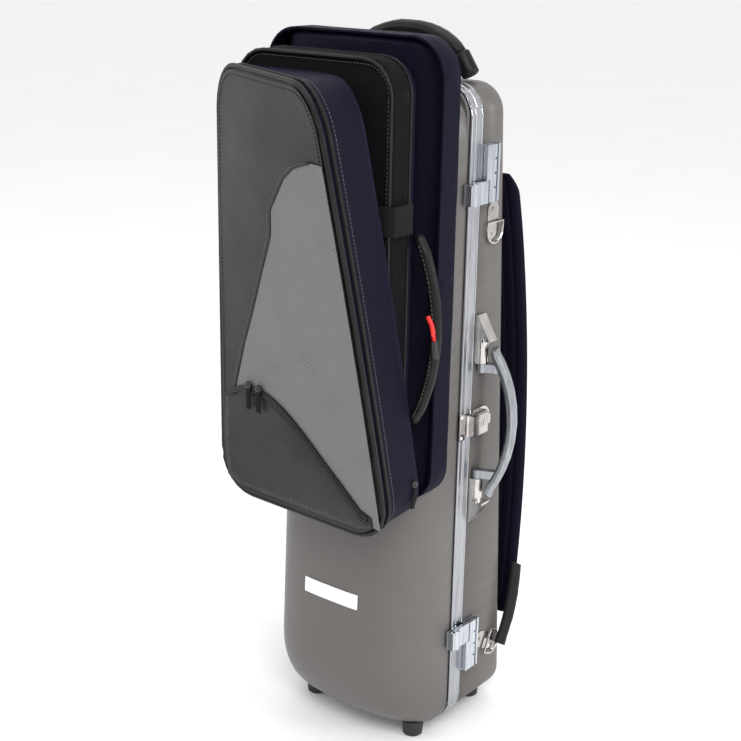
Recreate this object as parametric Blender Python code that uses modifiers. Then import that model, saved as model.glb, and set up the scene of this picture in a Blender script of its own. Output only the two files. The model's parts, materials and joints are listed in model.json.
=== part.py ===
"""Bass clarinet case: a wedge-shaped hard case with aluminium rims, a lid that opens like a book,
a half-unzipped soft bag on the lid, backpack straps, two draw latches, a key lock and two handles.

Case frame while modelling: x = 0 on the centre plane, +X towards the latches, y = 0 where the front
shell meets the lid rim, +Y to the back, z = 0 at the bottom of the shells. The last function moves
the finished model so that its origin is under the middle of its bounding box.
"""

import math

import bmesh
import bpy
from mathutils import Matrix, Vector

# Case body, in metres
CASE_WIDTH = 0.211
CASE_HEIGHT = 0.740
CORNER_RADIUS = 0.031
WALL = 0.0026
GAP = 0.0003

# Front shell: a D-shaped section, deeper at the bottom than at the top, with drooping ends
FRONT_DEPTH_BOTTOM = 0.0983
FRONT_DEPTH_TOP = 0.0600
FRONT_SQUARENESS = 3.1
FRONT_END_RISE = 0.090
FRONT_END_DROP = 0.080
FRONT_EDGE_MIN = 0.0065
FRONT_INSETS = (0.0, 0.0005, 0.002, 0.006, 0.014, 0.028, 0.050, 0.078)

# Rear shell: a flat back that leans, deeper at the bottom
REAR_DEPTH_BOTTOM = 0.1155
REAR_DEPTH_TOP = 0.0679
REAR_EDGE_RADIUS = 0.014

# Aluminium rims, the gasket between front shell and lid rim, and the rubber seal
RIM_DEPTH = 0.0106
RIM_THICKNESS = 0.0056
RIM_PROUD = 0.0012
RIM_PARTING = 0.0004
GASKET_DEPTH = 0.0016
GASKET_INSET = 0.0010
SEAL_THICKNESS = 0.0018
SEAL_REACH = 0.0040
SEAL_SEAT = 0.0095

# Foam bed and lid foam, and the instrument recesses cut through both
FOAM_MARGIN = 0.0036
FOAM_SETBACK = 0.0012
LONG_JOINT_RADIUS = 0.031
LONG_JOINT_X = 0.052
LONG_JOINT_ENDS = (0.085, 0.690)
SHORT_JOINT_RADIUS = 0.029
SHORT_JOINT_X = -0.048
SHORT_JOINT_ENDS = (0.345, 0.690)
BELL_RADII = (0.060, 0.030)
BELL_X = -0.028
BELL_ENDS = (0.085, 0.250)
NECK_RADIUS = 0.018
NECK_X = -0.048
NECK_ENDS = (0.262, 0.328)

# Feet
FOOT_RADIUS = 0.013
FOOT_HEIGHT = 0.013
FOOT_SEAT_DROP = 0.0008
FOOT_SINK = 0.006
FOOT_X = 0.074
FRONT_FOOT_Y = -0.025
REAR_FOOT_Y = 0.090

# Long hinge on the left side
HINGE_ENDS = (0.060, 0.690)
HINGE_KNUCKLES = 9
HINGE_LEAF = 0.0070
HINGE_LEAF_THICKNESS = 0.0015
KNUCKLE_RADIUS = 0.0028
HINGE_PIN_RADIUS = 0.0012

# Draw latches on the right side: z of the far end and of the hook end of each
UPPER_LATCH_Z = (0.680, 0.618)
LOWER_LATCH_Z = (0.064, 0.126)
LATCH_Y = (0.0187, 0.0430)
LATCH_PLATE_TOP = 0.0032
LATCH_TOP = 0.0090
LATCH_RAIL = 0.0036
LEVER_UNDERSIDE = 0.0040
LEVER_AXIS_Y = 0.0362
LEVER_AXIS_X = 0.0065
LEVER_END_RADIUS = 0.0025
HOOK_LENGTH_Z = 0.024
HOOK_AXIS_Y = 0.0222
HOOK_ROLL_Y = -0.0012
HOOK_ROLL_RADIUS = 0.0042
KEEPER_LIP = (-0.0102, -0.0064)
KEEPER_END_Y = 0.0082
KEEPER_THICKNESS = 0.0020
KEEPER_LIP_TOP = 0.0098
RIVET_RADIUS = 0.0021
RIVET_HEIGHT = 0.0009

# Key lock
LOCK_Z = (0.355, 0.387)
LOCK_STRIKE_Y = (-0.0020, 0.0080)
LOCK_BARREL_RADIUS = 0.0026
LOCK_BARREL_Y = 0.0110
HASP_Z = (0.3590, 0.3830)
HASP_END_Y = 0.0205
HASP_UNDERSIDE = 0.0100
HASP_THICKNESS = 0.0018
LOCK_BODY_Y = (0.0145, 0.0400)
LOCK_BODY_TOP = 0.0095
LOCK_BOSS_Y = 0.0212
LOCK_BOSS_TOP = 0.0112
LOCK_PLATE_END_Y = 0.0560
LOCK_PLATE_TOP = 0.0020
PLUG_Y = 0.0300
PLUG_RADIUS = 0.0042
PLUG_DEPTH = 0.0060
KEYWAY = (0.0012, 0.0050, 0.0030)
SLIDE_Y = (0.0415, 0.0550)
SLIDE_HEIGHT_Z = 0.012
SLIDE_TOP = 0.0075
SLIDE_TRAVEL = 0.005

# Side handle: a rigid arch that swings on a vertical axis between two wedge brackets
SIDE_HANDLE_X = 0.1125
SIDE_HANDLE_Y = 0.0300
SIDE_HANDLE_LEAN = 24.0
SIDE_HANDLE_MID_Z = 0.372
SIDE_HANDLE_HALF = 0.095
SIDE_HANDLE_RISE = 0.0365
SIDE_HANDLE_ENDS = (0.2860, 0.4580)
SIDE_HANDLE_THICKNESS = 0.0110
SIDE_HANDLE_WIDTH = 0.0200
BRACKET_WIDTH = 0.0155
BRACKET_BARREL = 0.0066
UPPER_BRACKET_Z = (0.4405, 0.4950)
LOWER_BRACKET_Z = (0.2520, 0.3050)
BRACKET_NOSE = 0.0130
EYE_RADIUS = 0.0058
EYE_HEIGHT = 0.0100
HANDLE_PIN_RADIUS = 0.0020
RUNNING = 0.0003

# Top handle: a leather arch with a tubular sleeve at each end
TOP_HANDLE_Y = 0.0345
TOP_HANDLE_X = 0.0800
TOP_HANDLE_RISE = 0.0520
TOP_HANDLE_THICKNESS = 0.0150
TOP_HANDLE_WIDTH = 0.0210
SLEEVE_RADIUS = 0.0098
SLEEVE_LENGTH = 0.0260
SLEEVE_LEAN = 33.0

# D-ring plates and rings on both sides of the rear shell
UPPER_RING = (0.0470, 0.5940)
LOWER_RING = (0.0720, 0.0800)
RING_PLATE = (0.020, 0.046, 0.0014)
RING_WIRE = 0.0015
RING_WIDTH = 0.0290
RING_DROP = 0.0230
RING_LIFT = 0.0031
LOWER_RING_TURN = 62.0
RIVET_FROM_END = 0.009

# Label plate, left blank
LABEL = (0.0766, 0.0175, 0.0012)
LABEL_Z = 0.170

# Backpack straps on the back
STRAP_X = 0.080
STRAP_WIDTH = 0.062
STRAP_THICKNESS = 0.013
STRAP_Z = (0.098, 0.640)
STRAP_BOW = 0.030
STRAP_STANDOFF = 0.0085
WEBBING_WIDTH = 0.025
WEBBING_THICKNESS = 0.0022
STRAP_PATCH = (0.150, 0.045, 0.0012)

# Soft bag on the lid: carrier, briefcase and the outer cover with its pocket
CARRIER_HALF = 0.1165
CARRIER_Z = (0.300, 0.792)
CARRIER_CORNER = 0.040
CARRIER_BACK = 0.0034
CARRIER_FRONT_Y = -0.064
CARRIER_EDGE_Y = -0.034
CARRIER_LIP = 0.0060
FABRIC = 0.0022
BAG_TAPE = 0.0050
BRIEFCASE_HALF = 0.1010
BRIEFCASE_Z = (0.330, 0.774)
BRIEFCASE_CORNER = 0.035
BRIEFCASE_FRONT_Y = -0.1240
BRIEFCASE_SEAM_Y = -0.1000
BRIEFCASE_BACK_SPACE = 0.0012
PIPING_RADIUS = 0.0022
COVER_LEFT = -0.1190
COVER_HINGE_Y = -0.0640
COVER_WIDTH = 0.2400
COVER_Z = (0.287, 0.757)
COVER_CORNER = 0.045
COVER_DEPTH = 0.0740
COVER_TWIST_BOTTOM = 2.0
COVER_TWIST_TOP = 25.5
COVER_CROWN = 0.0070
COVER_LEAN_IN = 0.10
POCKET_HEIGHT = 0.150
POCKET_THICKNESS = 0.0050
BAG_HANDLE_Z = (0.405, 0.600)
BAG_HANDLE_REACH = 0.026
BAG_HANDLE_SET_BACK = 0.0055
BAG_HANDLE_RADIUS = 0.0062
PULL_LENGTH = 0.024
PULL_SECTION = (0.0064, 0.0022)
PULL_STANDOFF = 0.0068

COLLECTION = "bass_clarinet_case"
CUTTERS = "cutters"

HALF = CASE_WIDTH / 2
RIM_HALF = HALF + RIM_PROUD
PARTING_Y = RIM_DEPTH + RIM_PARTING / 2
BASE_RIM_Y = (RIM_DEPTH + RIM_PARTING, 2 * RIM_DEPTH + RIM_PARTING)
HINGE_X = -(RIM_HALF + GAP + KNUCKLE_RADIUS)
SHELL_X = HALF + GAP


def clear_scene():
    for item in list(bpy.data.objects):
        bpy.data.objects.remove(item, do_unlink=True)
    for name in (COLLECTION, CUTTERS):
        collection = bpy.data.collections.new(name)
        bpy.context.scene.collection.children.link(collection)
        COLLECTIONS[name] = collection


COLLECTIONS = {}
BODIES = {}
MATERIALS = {}

FINISHES = {
    "shell": ((0.20, 0.19, 0.19), 0.45, 0.0),
    "aluminium": ((0.62, 0.63, 0.66), 0.32, 1.0),
    "chrome": ((0.78, 0.79, 0.81), 0.18, 1.0),
    "handle_silver": ((0.48, 0.50, 0.52), 0.35, 0.6),
    "rubber": ((0.02, 0.02, 0.022), 0.75, 0.0),
    "foam": ((0.05, 0.05, 0.06), 0.95, 0.0),
    "navy_fabric": ((0.012, 0.012, 0.028), 0.85, 0.0),
    "mesh_fabric": ((0.010, 0.010, 0.012), 0.90, 0.0),
    "black_leather": ((0.015, 0.014, 0.014), 0.45, 0.0),
    "grey_leather": ((0.045, 0.040, 0.040), 0.40, 0.0),
    "zip": ((0.012, 0.012, 0.014), 0.60, 0.0),
    "label": ((0.90, 0.90, 0.90), 0.30, 0.0),
    "red": ((0.75, 0.02, 0.02), 0.55, 0.0),
}


def finish_material(name):
    if name not in MATERIALS:
        colour, roughness, metallic = FINISHES[name]
        material = bpy.data.materials.new(name)
        material.use_nodes = True
        shader = material.node_tree.nodes["Principled BSDF"]
        shader.inputs["Base Color"].default_value = (*colour, 1.0)
        shader.inputs["Roughness"].default_value = roughness
        shader.inputs["Metallic"].default_value = metallic
        material.diffuse_color = (*colour, 1.0)
        MATERIALS[name] = material
    return MATERIALS[name]


def body(name, parent=None, pivot=(0.0, 0.0, 0.0)):
    """An empty on a body's joint axis; the body's pieces hang from it."""
    empty = bpy.data.objects.new("body_" + name, None)
    empty.empty_display_size = 0.02
    COLLECTIONS[COLLECTION].objects.link(empty)
    BODIES[name] = (empty, Vector(pivot))
    if parent:
        holder, holder_pivot = BODIES[parent]
        empty.parent = holder
        empty.location = Vector(pivot) - holder_pivot
    return empty


def hang(item, body_name):
    empty, pivot = BODIES[body_name]
    item.parent = empty
    item.location = -pivot
    return item


def mesh_object(name, bm, finish, body_name, smooth=True):
    mesh = bpy.data.meshes.new(name)
    bm.normal_update()
    bm.to_mesh(mesh)
    bm.free()
    mesh.materials.append(finish_material(finish))
    if smooth:
        mesh.shade_smooth()
        mesh.set_sharp_from_angle(angle=math.radians(35))
    item = bpy.data.objects.new(name, mesh)
    COLLECTIONS[COLLECTION].objects.link(item)
    return hang(item, body_name)


def cutter_object(name, bm):
    mesh = bpy.data.meshes.new(name)
    bm.to_mesh(mesh)
    bm.free()
    item = bpy.data.objects.new(name, mesh)
    item.hide_render = True
    item.display_type = "WIRE"
    COLLECTIONS[CUTTERS].objects.link(item)
    item.parent = BODIES["base"][0]
    return item


def boolean(item, cutter, operation="DIFFERENCE"):
    modifier = item.modifiers.new(operation.lower(), "BOOLEAN")
    modifier.operation = operation
    modifier.solver = "EXACT"
    modifier.object = cutter
    return item


def bevel(item, width, segments=1):
    modifier = item.modifiers.new("edge", "BEVEL")
    modifier.width = width
    modifier.segments = segments
    modifier.limit_method = "ANGLE"
    modifier.angle_limit = math.radians(40)
    return item


def add_box(bm, low, high):
    low, high = Vector(low), Vector(high)
    size = high - low
    matrix = Matrix.Translation((low + high) / 2) @ Matrix.Diagonal((*size, 1.0))
    return bmesh.ops.create_cube(bm, size=1.0, matrix=matrix)["verts"]


AXIS_TURN = {
    "x": Matrix.Rotation(math.radians(90), 4, "Y"),
    "y": Matrix.Rotation(math.radians(-90), 4, "X"),
    "z": Matrix.Identity(4),
}


def add_cylinder(bm, centre, radius, length, axis="z", segments=16, top_radius=None):
    matrix = Matrix.Translation(Vector(centre)) @ AXIS_TURN[axis]
    top = radius if top_radius is None else top_radius
    return bmesh.ops.create_cone(bm, cap_ends=True, segments=segments, radius1=radius, radius2=top,
                                 depth=length, matrix=matrix)["verts"]


def union_of(name, finish, body_name, makers, edge=0.0):
    """One solid from several overlapping primitives, each made by a function that fills a bmesh."""
    first = bmesh.new()
    makers[0](first)
    item = mesh_object(name, first, finish, body_name)
    for number, maker in enumerate(makers[1:]):
        bm = bmesh.new()
        maker(bm)
        boolean(item, cutter_object(f"{name}_join_{number}", bm), "UNION")
    if edge:
        bevel(item, edge)
    return item


def spread(stations, low, high):
    """The stations in order, each kept inside its straight run however short the run is."""
    count = len(stations)
    margin = (high - low) * 0.04
    kept = []
    for number, station in enumerate(sorted(stations)):
        least = low + margin * (number + 1)
        most = high - margin * (count - number)
        kept.append(min(max(station, least), most))
    return kept


def outline(half, low, high, radius, arc_steps=6, side_stations=(), end_stations=()):
    """Rounded rectangle in X and Z, anticlockwise seen from the front, as (x, z) pairs.

    side_stations are heights and end_stations are x values that get a point of their own."""
    corners = ((half - radius, high - radius, 0), (-(half - radius), high - radius, 90),
               (-(half - radius), low + radius, 180), (half - radius, low + radius, 270))
    sides = spread(side_stations, low + radius, high - radius)
    ends = spread(end_stations, -(half - radius), half - radius)
    between = ([(x, high) for x in sorted(ends, reverse=True)],
               [(-half, z) for z in sorted(sides, reverse=True)],
               [(x, low) for x in sorted(ends)],
               [(half, z) for z in sorted(sides)])
    points = []
    for (cx, cz, start), straight in zip(corners, between):
        for step in range(arc_steps + 1):
            angle = math.radians(start + 90 * step / arc_steps)
            points.append((cx + radius * math.cos(angle), cz + radius * math.sin(angle)))
        points.extend(straight)
    return points


def bridge(bm, first, second):
    count = len(first)
    for i in range(count):
        j = (i + 1) % count
        bm.faces.new((first[i], first[j], second[j], second[i]))


def loft(rings, cap_start=False, cap_end=False, closed=False):
    """Faces between rings of equal count; the last may close on the first."""
    bm = bmesh.new()
    rows = [[bm.verts.new(point) for point in ring] for ring in rings]
    for first, second in zip(rows, rows[1:]):
        bridge(bm, first, second)
    if closed:
        bridge(bm, rows[-1], rows[0])
    if cap_start:
        bm.faces.new(rows[0][::-1])
    if cap_end:
        bm.faces.new(rows[-1])
    bmesh.ops.recalc_face_normals(bm, faces=bm.faces[:])
    return bm


def facing(bm, direction, point_index=-1):
    """Turn an open bowl's faces so that its cap looks along direction."""
    bm.normal_update()
    bm.faces.ensure_lookup_table()
    if bm.faces[point_index].normal.dot(Vector(direction)) < 0:
        bmesh.ops.reverse_faces(bm, faces=bm.faces[:])
    return bm


def bowl(name, rings, wall, finish, body_name, direction):
    """An open shell closed at its last ring, given its wall inwards."""
    bm = facing(loft(rings, cap_end=True), direction)
    item = mesh_object(name, bm, finish, body_name)
    solid = item.modifiers.new("wall", "SOLIDIFY")
    solid.thickness = wall
    solid.offset = -1.0
    solid.use_even_offset = True
    return item


def frame_ring(name, half, low, high, radius, y_range, thickness, finish, body_name, steps=5,
               chamfer=0.0006):
    """A rounded rectangular frame: an outline swept with a rectangular section."""
    def ring(inset, y):
        points = outline(half - inset, low + inset, high - inset, radius - inset, steps)
        return [(x, y, z) for x, z in points]
    y0, y1 = y_range
    rings = [ring(chamfer, y0), ring(0.0, y0 + chamfer), ring(0.0, y1 - chamfer), ring(chamfer, y1),
             ring(thickness, y1), ring(thickness, y0)]
    return mesh_object(name, loft(rings, closed=True), finish, body_name)


def front_height(x, z):
    """How far the front shell's skin stands in front of the rim plane at (x, z)."""
    across = min(abs(x) / HALF, 1.0)
    share = (1.0 - across ** FRONT_SQUARENESS) ** (1.0 / FRONT_SQUARENESS)
    depth = FRONT_DEPTH_BOTTOM + (FRONT_DEPTH_TOP - FRONT_DEPTH_BOTTOM) * z / CASE_HEIGHT
    end = min(z, CASE_HEIGHT - z)
    sink = 0.0
    if end < FRONT_END_RISE:
        run = (FRONT_END_RISE - end) / FRONT_END_RISE
        sink = FRONT_END_DROP * (1.0 - math.sqrt(max(1.0 - run * run, 0.0)))
    return max(depth * share - sink, 0.0)


def rear_depth(z):
    return REAR_DEPTH_BOTTOM + (REAR_DEPTH_TOP - REAR_DEPTH_BOTTOM) * z / CASE_HEIGHT


def front_rings(margin, start_y, insets, setback):
    """Rings of the front form from the rim inwards, each at its own height."""
    stations = (0.045, 0.060, 0.090, 0.370, 0.650, 0.680, 0.695)
    rings = []
    for number, inset in enumerate(insets):
        total = margin + inset
        radius = max(CORNER_RADIUS - total, 0.004)
        points = outline(HALF - total, total, CASE_HEIGHT - total, radius, 5, stations, (-0.04, 0.0, 0.04))
        if number == 0:
            rings.append([(x, start_y, z) for x, z in points])
        else:
            rings.append([(x, -max(front_height(x, z) - setback, FRONT_EDGE_MIN - setback), z)
                          for x, z in points])
    return rings


def front_shell():
    rings = front_rings(0.0, -(GASKET_DEPTH + 3 * GAP), FRONT_INSETS, 0.0)
    return bowl("front_shell", rings, WALL, "shell", "lid", (0, -1, 0))


def rear_rings(margin, start_y, setback, steps):
    rings = []
    base = outline(HALF - margin, margin, CASE_HEIGHT - margin, CORNER_RADIUS - margin, 5)
    rings.append([(x, start_y, z) for x, z in base])
    for angle in steps:
        turn = math.radians(angle)
        inset = margin + REAR_EDGE_RADIUS * (1 - math.cos(turn))
        rise = REAR_EDGE_RADIUS * math.sin(turn)
        points = outline(HALF - inset, inset, CASE_HEIGHT - inset, max(CORNER_RADIUS - inset, 0.006), 5)
        rings.append([(x, rear_depth(z) - setback - REAR_EDGE_RADIUS + rise, z) for x, z in points])
    return rings


def rear_shell():
    rings = rear_rings(0.0, BASE_RIM_Y[1] + GAP, 0.0, (0, 25, 50, 75, 90))
    return bowl("rear_shell", rings, WALL, "shell", "base", (0, 1, 0))


def rims():
    frame_ring("lid_rim", RIM_HALF, -RIM_PROUD, CASE_HEIGHT + RIM_PROUD, CORNER_RADIUS + RIM_PROUD,
               (0.0, RIM_DEPTH), RIM_THICKNESS, "aluminium", "lid")
    frame_ring("base_rim", RIM_HALF, -RIM_PROUD, CASE_HEIGHT + RIM_PROUD, CORNER_RADIUS + RIM_PROUD,
               BASE_RIM_Y, RIM_THICKNESS, "aluminium", "base")
    gasket_half = HALF - GASKET_INSET
    frame_ring("shell_gasket", gasket_half, GASKET_INSET, CASE_HEIGHT - GASKET_INSET,
               CORNER_RADIUS - GASKET_INSET, (-(GASKET_DEPTH + GAP), -GAP), 0.004, "rubber", "lid", 5, 0.0003)
    seal_in = RIM_THICKNESS + GAP
    frame_ring("rim_seal", RIM_HALF - seal_in, seal_in - RIM_PROUD, CASE_HEIGHT + RIM_PROUD - seal_in,
               CORNER_RADIUS + RIM_PROUD - seal_in, (PARTING_Y - SEAL_REACH, PARTING_Y + SEAL_SEAT),
               SEAL_THICKNESS, "rubber", "base", 5, 0.0005)


def recess_cutter(name, x, ends, radius, top_radius=None):
    bm = bmesh.new()
    add_cylinder(bm, (x, PARTING_Y, sum(ends) / 2), radius, ends[1] - ends[0], "z", 12, top_radius)
    return cutter_object(name, bm)


def foams():
    """The foam bed in the base and its counterpart in the lid share the recesses."""
    margin = RIM_THICKNESS + GAP + SEAL_THICKNESS + GAP
    rings = rear_rings(margin, PARTING_Y + FOAM_SETBACK / 2, FOAM_MARGIN, (0, 45, 90))
    bed = mesh_object("base_foam", loft(rings, True, True), "foam", "base")
    rings = front_rings(margin, PARTING_Y - SEAL_REACH - FOAM_SETBACK, (0.0, 0.004, 0.012, 0.026, 0.055),
                        2 * FOAM_MARGIN)
    lid = mesh_object("lid_foam", loft(rings, True, True), "foam", "lid")
    recesses = (("cut_long_joint", LONG_JOINT_X, LONG_JOINT_ENDS, LONG_JOINT_RADIUS, None),
                ("cut_short_joint", SHORT_JOINT_X, SHORT_JOINT_ENDS, SHORT_JOINT_RADIUS, None),
                ("cut_bell", BELL_X, BELL_ENDS, BELL_RADII[0], BELL_RADII[1]),
                ("cut_neck", NECK_X, NECK_ENDS, NECK_RADIUS, None))
    for name, x, ends, radius, top_radius in recesses:
        cutter = recess_cutter(name, x, ends, radius, top_radius)
        boolean(bed, cutter)
        boolean(lid, cutter)


def feet():
    """Four turned rubber feet, cut to the underside of the shell that each is screwed to."""
    edge_y = BASE_RIM_Y[1] + GAP
    seats = {
        "base": loft(rear_rings(-GAP, edge_y, -GAP, (0, 25, 50, 75, 90)), True, True),
        "lid": loft(front_rings(0.0, -GASKET_DEPTH, FRONT_INSETS, 0.0), True, True),
    }
    bmesh.ops.translate(seats["lid"], verts=seats["lid"].verts[:], vec=(0, -GAP, -FOOT_SEAT_DROP))
    for body_name, tag, y in (("lid", "front", FRONT_FOOT_Y), ("base", "rear", REAR_FOOT_Y)):
        seat = cutter_object(f"cut_{tag}_feet", seats[body_name])
        for side, side_name in ((1, "right"), (-1, "left")):
            bm = bmesh.new()
            centre = (side * FOOT_X, y, (FOOT_SINK - FOOT_HEIGHT) / 2)
            add_cylinder(bm, centre, FOOT_RADIUS * 0.86, FOOT_HEIGHT + FOOT_SINK, "z", 20, FOOT_RADIUS)
            foot = mesh_object(f"{tag}_foot_{side_name}", bm, "rubber", body_name)
            bevel(foot, 0.0015)
            boolean(foot, seat)


def hinge():
    """A long hinge: one leaf on each rim, knuckles in turn, and a pin through them."""
    low, high = HINGE_ENDS
    pitch = (high - low) / HINGE_KNUCKLES
    leaf_x = (-RIM_HALF - GAP - HINGE_LEAF_THICKNESS, -RIM_HALF - GAP)
    clear = KNUCKLE_RADIUS + GAP
    bores = bmesh.new()
    add_cylinder(bores, (HINGE_X, PARTING_Y, (low + high) / 2), HINGE_PIN_RADIUS + RUNNING, high - low + 0.01,
                 "z", 10)
    bore = cutter_object("cut_hinge_bore", bores)
    for owner, sign, first in (("base", 1, 0), ("lid", -1, 1)):
        bm = bmesh.new()
        near, far = PARTING_Y + sign * clear, PARTING_Y + sign * (clear + HINGE_LEAF)
        add_box(bm, (leaf_x[0], min(near, far), low), (leaf_x[1], max(near, far), high))
        leaf = mesh_object(f"hinge_leaf_{owner}", bm, "aluminium", owner)
        for number in range(first, HINGE_KNUCKLES, 2):
            centre = low + pitch * (number + 0.5)
            length = pitch - GAP
            bm = bmesh.new()
            ends = sorted((PARTING_Y, PARTING_Y + sign * (clear + 0.001)))
            add_box(bm, (leaf_x[0], ends[0], centre - length / 2 + 0.0001),
                    (leaf_x[1] - 0.0001, ends[1], centre + length / 2 - 0.0001))
            boolean(leaf, cutter_object(f"hinge_tab_{number}", bm), "UNION")
            bm = bmesh.new()
            add_cylinder(bm, (HINGE_X, PARTING_Y, centre), KNUCKLE_RADIUS, length, "z", 14)
            boolean(leaf, cutter_object(f"hinge_knuckle_{number}", bm), "UNION")
        boolean(leaf, bore)
    pin = bmesh.new()
    add_cylinder(pin, (HINGE_X, PARTING_Y, (low + high) / 2), HINGE_PIN_RADIUS, high - low + 0.002, "z", 10)
    mesh_object("hinge_pin", pin, "chrome", "base")


def latch(tag, z_range):
    """A draw latch: plate and rail on the base, lever, hook with its roll, keeper on the lid."""
    far, near = z_range
    low, high = min(z_range), max(z_range)
    toward = 1 if near > far else -1
    hook_z = sorted((near, near - toward * HOOK_LENGTH_Z))
    lever_axis = (RIM_HALF + LEVER_AXIS_X, LEVER_AXIS_Y, (low + high) / 2)
    hook_axis = (RIM_HALF + LEVER_AXIS_X, HOOK_AXIS_Y, sum(hook_z) / 2)
    body(tag + "_lever", "base", lever_axis)
    body(tag + "_hook", tag + "_lever", hook_axis)

    rim_x = RIM_HALF + GAP
    union_of(tag + "_latch_plate", "chrome", "base", (
        lambda bm: add_box(bm, (rim_x, LATCH_Y[0], low), (RIM_HALF + LATCH_PLATE_TOP, LATCH_Y[1], high)),
        lambda bm: add_box(bm, (SHELL_X, BASE_RIM_Y[1] + 2 * GAP, low + 0.001),
                           (RIM_HALF + LATCH_PLATE_TOP / 2, LATCH_Y[1] - 0.0004, high - 0.001)),
        lambda bm: add_box(bm, (RIM_HALF + 0.001, LATCH_Y[1] - LATCH_RAIL, low + 0.0003),
                           (RIM_HALF + LATCH_TOP, LATCH_Y[1] - 0.0002, high - 0.0003))))

    lever_low, lever_high = low + 0.0006, high - 0.0006
    window_y = HOOK_AXIS_Y + LEVER_END_RADIUS + GAP
    lever = union_of(tag + "_latch_lever", "chrome", tag + "_lever", (
        lambda bm: add_box(bm, (RIM_HALF + LEVER_UNDERSIDE, LATCH_Y[0], lever_low),
                           (RIM_HALF + LATCH_TOP, LEVER_AXIS_Y, lever_high)),
        lambda bm: add_cylinder(bm, lever_axis, LEVER_END_RADIUS - 0.00005, lever_high - lever_low - 0.0002, "z", 16)))
    bm = bmesh.new()
    far_side = hook_z[0] - GAP if toward > 0 else hook_z[1] + GAP
    beyond = near + toward * 0.01
    z0, z1 = sorted((far_side, beyond))
    add_box(bm, (RIM_HALF - 0.01, LATCH_Y[0] - 0.01, z0), (RIM_HALF + LATCH_TOP + 0.01, window_y, z1))
    boolean(lever, cutter_object(tag + "_lever_window", bm))
    bevel(lever, 0.0006)

    hook = union_of(tag + "_latch_hook", "chrome", tag + "_hook", (
        lambda bm: add_box(bm, (RIM_HALF + LEVER_UNDERSIDE + 0.0002, HOOK_ROLL_Y, hook_z[0]),
                           (RIM_HALF + LATCH_TOP - 0.0004, HOOK_AXIS_Y, hook_z[1])),
        lambda bm: add_cylinder(bm, hook_axis, LEVER_END_RADIUS - 0.0001, HOOK_LENGTH_Z - 0.0004, "z", 16),
        lambda bm: add_cylinder(bm, (RIM_HALF + LEVER_AXIS_X + 0.0010, HOOK_ROLL_Y, hook_axis[2]),
                                HOOK_ROLL_RADIUS, HOOK_LENGTH_Z - 0.0006, "z", 18)))
    bevel(hook, 0.0004)

    keep_low, keep_high = hook_z[0] + 0.0008, hook_z[1] - 0.0008
    union_of(tag + "_latch_keeper", "aluminium", "lid", (
        lambda bm: add_box(bm, (rim_x, KEEPER_LIP[0], keep_low),
                           (rim_x + KEEPER_THICKNESS, KEEPER_END_Y, keep_high)),
        lambda bm: add_box(bm, (rim_x + 0.0002, KEEPER_LIP[0] + 0.0001, keep_low + 0.0002),
                           (RIM_HALF + KEEPER_LIP_TOP, KEEPER_LIP[1], keep_high - 0.0002))), edge=0.0004)


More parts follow.
